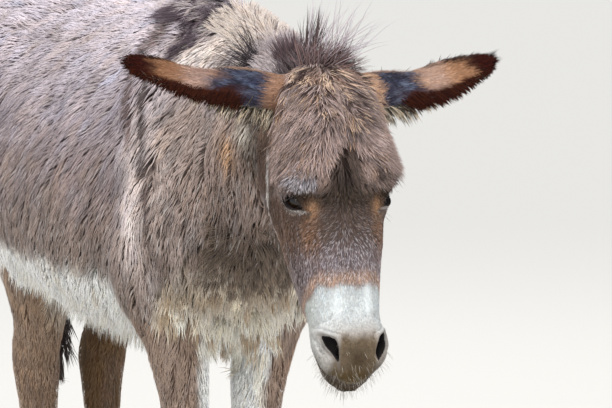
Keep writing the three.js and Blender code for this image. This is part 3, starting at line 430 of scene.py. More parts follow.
def eye_detail(f, P, s):
    """Lids round one eye: a fleshy mound, an almond opening with rims, and folds above and below."""
    E = EYES[s]
    i = np.nonzero(np.linalg.norm(P - E, axis=1) < 62)[0]
    if len(i) == 0:
        return
    out_, long_ = (unit(v[0] * HEAD_A + v[1] * HEAD_B + s * v[2] * HEAD_C) for v in (EYE_OUT, EYE_LONG))
    long_ = unit(long_ - (long_ @ out_) * out_)
    high = unit(np.cross(out_, long_))
    if high @ (-HEAD_A) < 0:
        high = -high
    d = P[i] - E
    u, v, w = d @ long_, d @ high, d @ out_
    r = np.linalg.norm(d, axis=1)
    g = f[i]
    # the ball pushes the lids out a little
    g = smin(g, r - (EYE_R + 2.6), 9)
    camber = 2.2 * (u / 22) - 1.2 * (u / 22) ** 2
    open_up = LID_UP * np.maximum(1 - np.abs((u + 2) / 23) ** 2.3, -0.4)
    open_dn = LID_DOWN * np.maximum(1 - np.abs((u - 4) / 22) ** 2.0, -0.4)
    over, under = v - camber - open_up, camber - open_dn - v
    o = np.maximum(over, under)
    front = step(4, 10, w)
    # folds: a deep crease over the upper lid, a soft one under the lower
    g = g + front * 2.6 * np.exp(-(((over - 8.5) / 2.3) ** 2)) * (1 - step(20, 30, np.abs(u)))
    g = g + front * 1.4 * np.exp(-(((over - 14.5) / 2.4) ** 2)) * (1 - step(18, 28, np.abs(u)))
    g = g + front * 1.6 * np.exp(-(((under - 6.5) / 2.2) ** 2)) * (1 - step(16, 26, np.abs(u)))
    g = g + front * 1.1 * np.exp(-(((under - 12) / 2.4) ** 2)) * (1 - step(14, 24, np.abs(u)))
    # fleshy rims
    g = g - front * 2.0 * np.exp(-((over / 2.4) ** 2)) * (np.abs(u) < 26) * step(-3, 0, over)
    g = g - front * 1.4 * np.exp(-((under / 2.2) ** 2)) * (np.abs(u) < 26) * step(-3, 0, under)
    carve = np.maximum(o, (EYE_R - 2.5) - r)
    g = np.where(w > 0, smax(g, -carve, 1.6), g)
    f[i] = g


NOSTRIL = np.array([408.0, -20.0, 37.5])  # in head axes: down the face, out, sideways
MUZZLE_MID = 4.5  # the end of the muzzle is turned this far to the left
N_OUT = unit([0.08, 0.83, 0.55])
N_ALONG = unit(np.array([0.84, 0.12, -0.53]) - (np.array([0.84, 0.12, -0.53]) @ N_OUT) * N_OUT)
N_OVER = np.cross(N_OUT, N_ALONG) * np.sign(np.cross(N_OUT, N_ALONG)[2])


def nostril_axes(a, b, s):
    d = np.stack([a, b, s], 1) - NOSTRIL
    return d @ N_ALONG, d @ N_OVER, d @ N_OUT


def nostril_hole(a, b, c):
    """1 on the nostril's edge, less inside; with the place along it and the depth."""
    al, ov, w = nostril_axes(a, b, np.abs(c - MUZZLE_MID))
    bend = ov - 0.012 * (al + 4) ** 2 + 1.2
    return np.sqrt((al / 20.0) ** 2 + (bend / np.interp(al, [-18, -8, 3, 20], [7.0, 9.4, 7.4, 3.4])) ** 2), al, w


def mouth_gap(a, b):
    """How far in front of the line of the mouth."""
    return b - np.interp(a, [378, 395, 410, 425, 440, 455, 470], [-92, -76, -60, -46, -42, -43, -45])


def muzzle_sides(a, b, c):
    """The sides of the muzzle draw in toward the lips."""
    q = c * 0.94 + b * 0.33
    near = -q - np.interp(a, [320, 340, 352, 363, 401, 415, 425, 440, 454, 464, 475], [92, 80, 73, 70, 69, 66, 62.5, 58, 50, 40, 30])
    far = q - np.interp(a, [380, 400, 411, 426, 435, 445, 458, 466, 475], [80, 60, 51, 43, 34, 25, 18, 13, 7])
    return np.maximum(near, far)


def muzzle_detail(f, P):
    a, b, c = to_head(P).T
    i = np.nonzero((a > 318) & (a < 500) & (b > -160))[0]
    if len(i) == 0:
        return
    a, b, c = a[i], b[i], c[i]
    s = np.abs(c)
    g = f[i]
    # nostril: a deep comma, round above and drawn out below, opening forward and a little sideways
    g = smax(g, muzzle_sides(a, b, c), 8)
    hole, al, w = nostril_hole(a, b, c)
    tube = np.maximum((hole - 1) * 6.5, -38 - w)
    g = g - 2.8 * np.exp(-(((hole - 1.5) / 0.36) ** 2)) * step(-20, -8, w) * step(-34, 4, -al)
    g = smax(g, -tube, 3.0)
    g = g + 1.5 * np.exp(-(((hole - 2.2) / 0.2) ** 2)) * step(-16, -6, w) * (al < 2)
    g = g + 1.3 * np.exp(-(((a - 368 - 0.42 * (s - 40)) / 3.2) ** 2)) * step(28, 36, s) * step(-70, -40, b)
    # mouth: a seam right round
    seam = mouth_gap(a, b)
    g = g + 4.6 * np.exp(-((seam / 2.8) ** 2)) * step(378, 400, a)
    g = g + 1.6 * step(2, 12, -seam) * step(392, 420, a)  # the lower lip is set back
    # a shallow groove down the middle of the upper lip, and small hills where whiskers grow
    g = g + 1.8 * np.exp(-((c / 5.0) ** 2)) * step(404, 430, a) * step(-88, -60, b)
    g = g - 0.35 * np.maximum(lattice_noise(P[i], 7.5, 5), 0) * step(370, 420, a)
    f[i] = g


def face_detail(f, P):
    """Bone and muscle lines of the face that show under short hair."""
    a, b, c = to_head(P).T
    i = np.nonzero((a > 150) & (a < 400) & (b > -230))[0]
    if len(i) == 0:
        return
    a, b, c = a[i], b[i], c[i]
    s = np.abs(c)
    g = f[i]
    g = g + 2.6 * np.exp(-(((s - 55) / 10) ** 2) - (((a - 262) / 46) ** 2)) * step(-60, -20, b)  # hollow between crest and nose bone
    g = g + 2.2 * np.exp(-(((b + 84) / 12) ** 2)) * step(240, 290, a) * (1 - step(360, 390, a))  # line under the crest
    g = g - 1.4 * np.exp(-(((s - 26) / 9) ** 2)) * step(230, 270, a) * (1 - step(345, 380, a)) * step(-30, -8, b)  # nose bone edges
    f[i] = g


EAR_DIP = {-1: (132, 64, 29.0), 1: (106, 56, 22.0)}


def ear_detail(f, P, side):
    """The upper edge of each ear dips between its base and its tip."""
    way, back, across, base = EAR_FRAMES[side]
    t, q, c = to_ear(P, side)
    i = np.nonzero((t > 20) & (t < 250) & (np.abs(q) < 50) & (np.abs(c) < 60))[0]
    if len(i) == 0:
        return
    at, wide, deep = EAR_DIP[side]
    up = c[i] * np.sign(across[2])
    cut = up - (EAR_HALF(clamp(t[i], -40, 245)) - deep * np.exp(-(((t[i] - at) / wide) ** 2)) + 1.0)
    f[i] = smax(f[i], cut, 6)


def skin(P, fine=True):
    f = outline(P, ("mane",)) + coat_depth(P)
    if fine:
        for s in (-1, 1):
            near = np.nonzero((P[:, 0] * s > 40) & (P[:, 2] > 980) & (P[:, 1] < -340))[0]
            if len(near):
                g = f[near]
                ear_detail(g, P[near], s)
                f[near] = g
        near = np.nonzero(P[:, 1] < -480)[0]
        if len(near):
            Q = P[near]
            g = f[near]
            face_detail(g, Q)
            muzzle_detail(g, Q)
            for s in (-1, 1):
                eye_detail(g, Q, s)
            f[near] = g
    return f


def carved(P):
    """How much deeper than the coat the skin has been carved at each point: ears' edges, muzzle, lids."""
    out = np.zeros(len(P))
    ears = (P[:, 2] > 980) & (P[:, 1] < -340) & (np.abs(P[:, 0]) > 40)
    muzzle = (P[:, 1] < -480) & (P[:, 2] < 800)
    i = np.nonzero(ears | muzzle)[0]
    if len(i):
        Q = P[i]
        out[i] = clamp(skin(Q) - skin(Q, False), 0, 26)
    return out


TETRA = np.array([[1, 1, 1], [1, -1, -1], [-1, 1, -1], [-1, -1, 1]], float)


def gradient(fn, P, eps):
    g = np.zeros((len(P), 3))
    for t in TETRA:
        g += fn(P + eps * t)[:, None] * t
    return g / (4 * eps)


def onto(fn, P, eps, rounds=2, most=4.0):
    for _ in range(rounds):
        g = gradient(fn, P, eps)
        f = fn(P)
        move = -f[:, None] * g / np.maximum((g * g).sum(1), 0.05)[:, None]
        size = np.linalg.norm(move, axis=1, keepdims=True)
        P = P + move * np.minimum(1, most / np.maximum(size, 1e-9))
    return P


# ------------------------------------------------------------------ surface nets
def surface_nets(fn, lo, hi, h, coarse=6):
    lo = np.array(lo, float)
    n = (np.ceil((np.array(hi) - lo) / h / coarse).astype(int)) * coarse + 1
    V = np.full(n, 60.0, np.float32)
    nb = (n - 1) // coarse
    I, J, K = np.meshgrid(*[np.arange(m) for m in nb], indexing="ij")
    blocks = np.stack([I.ravel(), J.ravel(), K.ravel()], 1)
    mid = lo + (blocks + 0.5) * coarse * h
    f = fn(mid, False)
    near = np.abs(f) < coarse * h * 0.87 * 1.5 + 6
    for b in blocks[~near & (f < 0)]:
        i, j, k = b * coarse
        V[i:i + coarse, j:j + coarse, k:k + coarse] = -60
    blocks = blocks[near]
    half = coarse // 3  # second level: thirds of a block
    offs = np.stack(np.meshgrid(*[np.arange(3)] * 3, indexing="ij"), -1).reshape(-1, 3)
    subs = (blocks[:, None, :] * coarse + offs[None] * half).reshape(-1, 3)
    fm = fn(lo + (subs + half / 2) * h, False)
    near = np.abs(fm) < half * h * 0.87 * 1.5 + 4
    for b, v in zip(subs[~near], fm[~near]):
        i, j, k = b
        V[i:i + half, j:j + half, k:k + half] = math.copysign(60, v)
    subs = subs[near]
    offs = np.stack(np.meshgrid(*[np.arange(half)] * 3, indexing="ij"), -1).reshape(-1, 3)
    pts = (subs[:, None, :] + offs[None]).reshape(-1, 3)
    v = np.empty(len(pts), np.float32)
    for k in range(0, len(pts), 400000):
        q = pts[k:k + 400000]
        v[k:k + 400000] = fn(lo + q * h, True)
    v[np.abs(v) < 1e-3] = 1e-3
    V[pts[:, 0], pts[:, 1], pts[:, 2]] = v
    say("sampled", len(pts))
    neg = V < 0
    c = np.zeros(np.array(V.shape) - 1, np.uint8)
    for dx in (0, 1):
        for dy in (0, 1):
            for dz in (0, 1):
                c += neg[dx:c.shape[0] + dx, dy:c.shape[1] + dy, dz:c.shape[2] + dz]
    cells = np.argwhere((c > 0) & (c < 8))
    index = np.full(c.shape, -1, np.int32)
    index[cells[:, 0], cells[:, 1], cells[:, 2]] = np.arange(len(cells))
    corner = {}
    for dx in (0, 1):
        for dy in (0, 1):
            for dz in (0, 1):
                corner[dx, dy, dz] = V[cells[:, 0] + dx, cells[:, 1] + dy, cells[:, 2] + dz].astype(float)
    total, count = np.zeros((len(cells), 3)), np.zeros(len(cells))
    for p in corner:
        for ax in range(3):
            if p[ax]:
                continue
            q = tuple(1 if k == ax else p[k] for k in range(3))
            u, w = corner[p], corner[q]
            cross = (u < 0) != (w < 0)
            t = np.where(cross, u / np.where(cross, u - w, 1), 0)
            pos = np.tile(np.array(p, float), (len(cells), 1))
            pos[:, ax] += t
            total += np.where(cross[:, None], pos, 0)
            count += cross
    verts = lo + (cells + total / count[:, None]) * h
    quads = []
    for ax in range(3):
        o1, o2 = (ax + 1) % 3, (ax + 2) % 3
        A = [slice(0, m) for m in V.shape]
        B = list(A)
        A[ax], B[ax] = slice(0, V.shape[ax] - 1), slice(1, V.shape[ax])
        na, nb_ = neg[tuple(A)], neg[tuple(B)]
        e = np.argwhere(na != nb_)
        e = e[(e[:, o1] > 0) & (e[:, o2] > 0) & (e[:, o1] < V.shape[o1] - 1) & (e[:, o2] < V.shape[o2] - 1)]
        inside = na[e[:, 0], e[:, 1], e[:, 2]]
        ring = []
        for s1, s2 in ((-1, -1), (0, -1), (0, 0), (-1, 0)):
            q = e.copy()
            q[:, o1] += s1
            q[:, o2] += s2
            ring.append(index[q[:, 0], q[:, 1], q[:, 2]])
        ring = np.stack(ring, 1)
        ring[~inside] = ring[~inside][:, ::-1]
        quads.append(ring)
    quads = np.concatenate(quads)
    quads = quads[(quads >= 0).all(1)]
    return verts, quads


def to_triangles(V, Q):
    d0 = np.linalg.norm(V[Q[:, 0]] - V[Q[:, 2]], axis=1)
    d1 = np.linalg.norm(V[Q[:, 1]] - V[Q[:, 3]], axis=1)
    s = (d0 <= d1)[:, None]
    return np.concatenate([np.where(s, Q[:, [0, 1, 2]], Q[:, [0, 1, 3]]), np.where(s, Q[:, [0, 2, 3]], Q[:, [1, 2, 3]])])


def refine(V, T, want):
    """Splits every edge whose middle is wanted, and the triangles on it, without leaving gaps."""
    E = np.sort(np.concatenate([T[:, [0, 1]], T[:, [1, 2]], T[:, [2, 0]]]), 1)
    key = E[:, 0].astype(np.int64) * len(V) + E[:, 1]
    uniq, first, back = np.unique(key, return_index=True, return_inverse=True)
    U = E[first]
    mid = (V[U[:, 0]] + V[U[:, 1]]) / 2
    split = want(mid)
    number = np.full(len(U), -1)
    number[split] = len(V) + np.arange(split.sum())
    m = number[back.ravel()].reshape(3, len(T)).T  # middles of edges 01, 12, 20
    has = m >= 0
    n = has.sum(1)
    out = [T[n == 0]]
    for k in range(3):  # turn each triangle so that its cases line up
        i0, i1, i2 = k, (k + 1) % 3, (k + 2) % 3
        one = (n == 1) & has[:, i0]
        t, q = T[one], m[one]
        out += [np.stack([t[:, i0], q[:, i0], t[:, i2]], 1), np.stack([q[:, i0], t[:, i1], t[:, i2]], 1)]
        two = (n == 2) & ~has[:, i2]  # edges i0-i1 and i1-i2 are split
        t, q = T[two], m[two]
        out += [np.stack([q[:, i0], t[:, i1], q[:, i1]], 1), np.stack([t[:, i0], q[:, i0], q[:, i1]], 1), np.stack([t[:, i0], q[:, i1], t[:, i2]], 1)]
    t, q = T[n == 3], m[n == 3]
    out += [np.stack([t[:, 0], q[:, 0], q[:, 2]], 1), np.stack([q[:, 0], t[:, 1], q[:, 1]], 1), np.stack([q[:, 2], q[:, 1], t[:, 2]], 1), q]
    return np.concatenate([V, mid[split]]), np.concatenate(out)


def mesh_object(name, V, F, smooth=True):
    """A mesh object from design-frame points and triangles."""
    me = bpy.data.meshes.new(name)
    P = to_row(V).astype(np.float32)
    me.vertices.add(len(P))
    me.vertices.foreach_set("co", P.ravel())
    F = np.asarray(F, np.int32)
    k = F.shape[1]
    me.loops.add(F.size)
    me.loops.foreach_set("vertex_index", F.ravel())
    me.polygons.add(len(F))
    me.polygons.foreach_set("loop_start", np.arange(0, F.size, k, dtype=np.int32))
    me.polygons.foreach_set("loop_total", np.full(len(F), k, np.int32))
    me.polygons.foreach_set("use_smooth", np.full(len(F), smooth))
    me.update(calc_edges=True)
    o = bpy.data.objects.new(name, me)
    bpy.context.scene.collection.objects.link(o)
    return o


def near_head(P, grow=0.0):
    return (P[:, 1] < -320 + grow) & (P[:, 2] > 520)


say("loaded")
V, Q = surface_nets(skin, (-330, -640, 18), (330, 950, 1170), 4.2)
say("nets", len(V), len(Q))
T = to_triangles(V, Q)
# the body away from the head is thinned, the head keeps its fineness
raw = mesh_object("raw", V, T)
group = raw.vertex_groups.new(name="thin")
body = np.nonzero(~near_head(V))[0]
group.add(body.tolist(), 1.0, "REPLACE")
mod = raw.modifiers.new("thin", "DECIMATE")
mod.ratio = 0.27
mod.vertex_group = "thin"
mod.vertex_group_factor = 10
dg = bpy.context.evaluated_depsgraph_get()
thin = bpy.data.meshes.new_from_object(raw.evaluated_get(dg))
V = np.zeros(len(thin.vertices) * 3, np.float32)
thin.vertices.foreach_get("co", V)
V = (V.reshape(-1, 3).astype(float) - SHIFT) * 1000
thin.calc_loop_triangles()
T = np.zeros(len(thin.loop_triangles) * 3, np.int32)
thin.loop_triangles.foreach_get("vertices", T)
T = T.reshape(-1, 3)
bpy.data.objects.remove(raw)
bpy.data.meshes.remove(thin)
say("thinned", len(V), len(T), "head verts", int(near_head(V).sum()))
V = onto(skin, V, 1.5)
say("projected")


def fine_zone(P):
    m = np.zeros(len(P), bool)
    for s in (-1, 1):
        m |= np.linalg.norm(P - EYES[s] - 0.0, axis=1) < 44
    a, b, c = to_head(P).T
    return m | ((a > 368) & (b > -125) & (a < 480))


n0 = len(V)
V, T = refine(V, T, fine_zone)
V[n0:] = onto(skin, V[n0:], 1.0, 2, 3.0)
moved = np.nonzero(fine_zone(V))[0]
V[moved] = onto(skin, V[moved], 0.8, 2, 2.0)
say("refined", len(V), len(T))


def finest_zone(P):
    m = np.zeros(len(P), bool)
    for s in (-1, 1):
        m |= np.linalg.norm(P - EYES[s], axis=1) < 33
    a, b, c = to_head(P).T
    return m | ((a > 382) & (a < 436) & (b > -62) & (np.abs(c) > 18))


n1 = len(V)
V, T = refine(V, T, finest_zone)
moved = np.nonzero(finest_zone(V))[0]
V[moved] = onto(skin, V[moved], 0.5, 3, 1.2)
say("refined again", len(V), len(T))


def rim_zone(P):
    m = np.zeros(len(P), bool)
    for s in (-1, 1):
        d = P - EYES[s]
        out_ = unit(EYE_OUT[0] * HEAD_A + EYE_OUT[1] * HEAD_B + s * EYE_OUT[2] * HEAD_C)
        m |= (np.linalg.norm(d, axis=1) < 31) & (d @ out_ > 6)
    return m


V, T = refine(V, T, rim_zone)
moved = np.nonzero(rim_zone(V))[0]
V[moved] = onto(skin, V[moved], 0.35, 3, 0.7)


def soften(V, T, weight, rounds):
    """Evens out the points where weight is above 0, each towards the middle of its neighbours."""
    E = np.concatenate([T[:, [0, 1]], T[:, [1, 2]], T[:, [2, 0]]])
    deg = np.bincount(E[:, 0], minlength=len(V)) + np.bincount(E[:, 1], minlength=len(V))
    for _ in range(rounds):
        m = np.stack([np.bincount(E[:, 0], V[E[:, 1], k], len(V)) + np.bincount(E[:, 1], V[E[:, 0], k], len(V)) for k in range(3)], 1)
        V = V + (m / deg[:, None] - V) * weight[:, None]
    return V


_a, _b, _c = to_head(V).T
V = soften(V, T, 0.6 * step(432, 448, _a) * (_b > -150) * (_a < 500), 14)
say("skin", len(V), len(T))

# ------------------------------------------------------------------ normals, parts and the flat unwrap of the skin
def point_normals(V, T):
    n = np.cross(V[T[:, 1]] - V[T[:, 0]], V[T[:, 2]] - V[T[:, 0]])
    out = np.stack([sum(np.bincount(T[:, j], n[:, k], len(V)) for j in range(3)) for k in range(3)], 1)
    return unit(out)


VN = point_normals(V, T)
LABELS = ["trunk", "neck", "head", "ear_right", "ear_left", "fore_right", "fore_left", "hind_right", "hind_left", "tail"]
TRUNK_, NECK_, HEAD_, EAR_R, EAR_L, FORE_R, FORE_L, HIND_R, HIND_L, TAIL_ = range(10)


def part_of(P):
    """Which part of the body each point belongs to."""
    v = np.full((len(P), 10), 500.0)
    v[:, TRUNK_] = np.minimum(trunk(P), np.minimum(shoulder(P), haunch(P)))
    front = P[:, 1] < 100
    v[front, NECK_] = neck(P[front])
    front = (P[:, 1] < -250) & (P[:, 2] > 500)
    v[front, HEAD_] = head(P[front])
    for s, k in ((-1, EAR_R), (1, EAR_L)):
        t, q, c = to_ear(P, s)
        i = (t > 2) & (np.abs(q) < 70) & (np.abs(c) < 60) & (t < 280)
        v[i, k] = ear(P[i], s) - 4
    low = P[:, 2] < 640
    for s, kf, kh in ((-1, FORE_R, HIND_R), (1, FORE_L, HIND_L)):
        i = low & (P[:, 0] * s > 2)
        v[i, kf] = foreleg(P[i], s)
        v[i, kh] = hindleg(P[i], s)
    i = (P[:, 1] > 860) & (P[:, 2] > 350)
    v[i, TAIL_] = TAIL.distance(P[i, 2], P[i, 1], P[i, 0]) - 6
    return v.argmin(1)


WORLD_AXES = np.eye(3)
PART_AXES = np.array([WORLD_AXES, WORLD_AXES, HEAD_AXES, np.array(EAR_FRAMES[-1][:3]), np.array(EAR_FRAMES[1][:3])] + [WORLD_AXES] * 5)
PART_SCALE = np.array([1.0, 1.1, 1.9, 1.7, 1.7, 1.2, 1.2, 1.2, 1.2, 1.2])


def unwrap(V, T):
    """Flat charts of the skin: one for each part and each way its surface faces, packed into the unit square."""
    C = V[T].mean(1)
    part = part_of(C)
    ax = PART_AXES[part]
    n = np.cross(V[T[:, 1]] - V[T[:, 0]], V[T[:, 2]] - V[T[:, 0]])
    ln = np.einsum("nij,nj->ni", ax, n)
    k = np.abs(ln).argmax(1)
    chart = part * 6 + k * 2 + (ln[np.arange(len(T)), k] > 0)
    X = np.einsum("nij,ncj->nci", ax, V[T])
    r = np.arange(len(T))
    uv = np.stack([X[r, :, (k + 1) % 3], X[r, :, (k + 2) % 3]], 2) * PART_SCALE[part][:, None, None]
    ids = np.unique(chart)
    boxes = {}
    for c in ids:
        q = uv[chart == c].reshape(-1, 2)
        boxes[c] = (q.min(0), q.max(0) - q.min(0))
    order = sorted(ids, key=lambda c: -boxes[c][1][1])

    def pack(scale):
        x = y = row = 0.0
        at = {}
        for c in order:
            w, h = boxes[c][1] * scale + 0.004
            if x + w > 1:
                x, y, row = 0.0, y + row, 0.0
            at[c] = (x + 0.002, y + 0.002)
            x, row = x + w, max(row, h)
        return at, y + row

    lo, hi = 1e-5, 1e-2
    for _ in range(40):
        mid = (lo + hi) / 2
        if pack(mid)[1] <= 1 and max(boxes[c][1][0] for c in ids) * mid < 0.99:
            lo = mid
        else:
            hi = mid
    at, _ = pack(lo)
    for c in ids:
        m = chart == c
        uv[m] = (uv[m] - boxes[c][0]) * lo + at[c]
    return uv, chart, part


TUV, TCHART, TPART = unwrap(V, T)
say("unwrapped", len(np.unique(TCHART)))


# ------------------------------------------------------------------ the lie of the coat
def tangent(D, N):
    return unit(D - (D * N).sum(1)[:, None] * N)


def lie(P, N, part):
    """The way the hair lies at each point, along the skin."""
    x, y, z = P.T
    sd = np.sign(x)
    D = np.zeros_like(P)
    # trunk: back along the spine, slanting down the flank and straight down low on it
    phi = np.radians(np.interp(z, [560, 640, 760, 880, 1000, 1080, 1130], [62, 70, 62, 52, 36, 20, 8]))
    phi = np.where(y > 640, phi + (math.radians(80) - phi) * step(640, 800, y) * (1 - step(1060, 1130, z)), phi)
    phi = np.where(y < 60, phi + (math.radians(82) - phi) * (1 - step(-120, 60, y)) * (1 - step(1060, 1130, z)), phi)
    D[:, 1], D[:, 2] = np.cos(phi), -np.sin(phi)
    D[:, 0] = 0.12 * sd
    m = part == NECK_
    ph = np.radians(np.interp(z[m], [700, 900, 1040, 1110], [84, 76, 62, 30]))
    D[m] = np.stack([0.15 * sd[m], np.cos(ph), -np.sin(ph)], 1)
    # breast: parts down the middle and fans out round a whorl on the throat
    w = np.maximum(0, -N[:, 1]) * (1 - step(-160, -60, y)) * (1 - step(860, 960, z))
    D += w[:, None] * np.stack([sd * 0.35 + 0.3 * np.sin(z / 31 + x / 23), -0.25 * np.ones(len(P)), -0.9 * np.ones(len(P))], 1)
    m = (part >= FORE_R) & (part <= HIND_L)
    inner = (np.abs(x[m]) < 66)
    D[m] = np.stack([0.05 * np.where(inner, -sd[m], sd[m]), 0.22 * np.ones(m.sum()), -np.ones(m.sum())], 1)
    m = part == TAIL_
    D[m] = [0, 0.15, -1]
    # head
    m = part == HEAD_
    a, b, c = to_head(P[m]).T
    s, sc = np.abs(c), np.sign(c)
    fan = np.exp(-(((a - 215) / 45) ** 2)) * step(-70, -25, b)
    lob = (1 - step(150, 190, a)) * step(-120, -60, b)
    ca = 1.0 - 0.45 * fan
    cc = sc * (1.05 * fan * step(2, 16, s) + 0.16 * (1 - fan) + lob * (0.12 + 0.75 * step(-10, 60, a) * step(4, 50, s) * (1 - 0.6 * step(110, 160, a))))
    cb = -0.45 * (1 - step(-110, -50, b))
    H = ca[:, None] * HEAD_A + cb[:, None] * HEAD_B + cc[:, None] * HEAD_C
    for e in (-1, 1):
        d = P[m] - EYES[e]
        r = np.linalg.norm(d, axis=1)
        k = (1 - step(26, 44, r))[:, None]
        H = H * (1 - 0.8 * k) + unit(d) * 0.9 * k
    d = P[m] - from_head((404, -24, 0)) - np.outer(c, HEAD_C) * 0.5
    k = step(372, 398, a)[:, None] * 0.6
    H = H * (1 - k) + unit(d) * k
    D[m] = H
    for e, k in ((-1, EAR_R), (1, EAR_L)):
        m = part == k
        way, back, across, base = EAR_FRAMES[e]
        t, q, c = to_ear(P[m], e)
        inside = (N[m] @ back) < 0
        D[m] = way + (c / 60)[:, None] * across * np.where(inside, 1.6, 0.25)[:, None]
    D += 0.16 * np.stack([lattice_noise(P, 55, k) for k in (11, 12, 13)], 1) * np.linalg.norm(D, axis=1, keepdims=True)
    return tangent(D, N)


# ------------------------------------------------------------------ markings, shared by the skin and the coat
STRIPE = np.array([[60, 30, 1128], [70, 13, 1110], [99, -10, 1081], [124, -8, 1052], [144, -6, 1020], [154, -9, 996], [161, -17, 973], [166, -35, 943], [173, -61, 899]], float)

CREASE_UP = np.array([[133, -42, 1022], [137, -48, 1007], [148, -60, 977], [155, -85, 940], [161, -105, 903], [165, -120, 876]], float)
CREASE_LOW = np.array([[170, -135, 854], [173, -152, 826], [174, -158, 786], [172, -156, 765]], float)
JAW_RIM = np.array([[96, -97, 84], [124, -100, 85], [152, -111, 83], [180, -134, 78], [205, -140, 72], [232, -134, 66]], float)


def line_distance(P, L):
    best = np.full(len(P), 1e9)
    for p, q in zip(L[:-1], L[1:]):
        d = q - p
        t = clamp((P - p) @ d / (d @ d), 0, 1)
        best = np.minimum(best, np.linalg.norm(P - p - t[:, None] * d, axis=1))
    return best


def spot(P, at, r):
    d = (P - np.array(at, float)) / np.array(r, float)
    return np.exp(-(d * d).sum(1))


def mix(C, D, w):
    return C + (np.array(D, float) - C) * w[:, None]


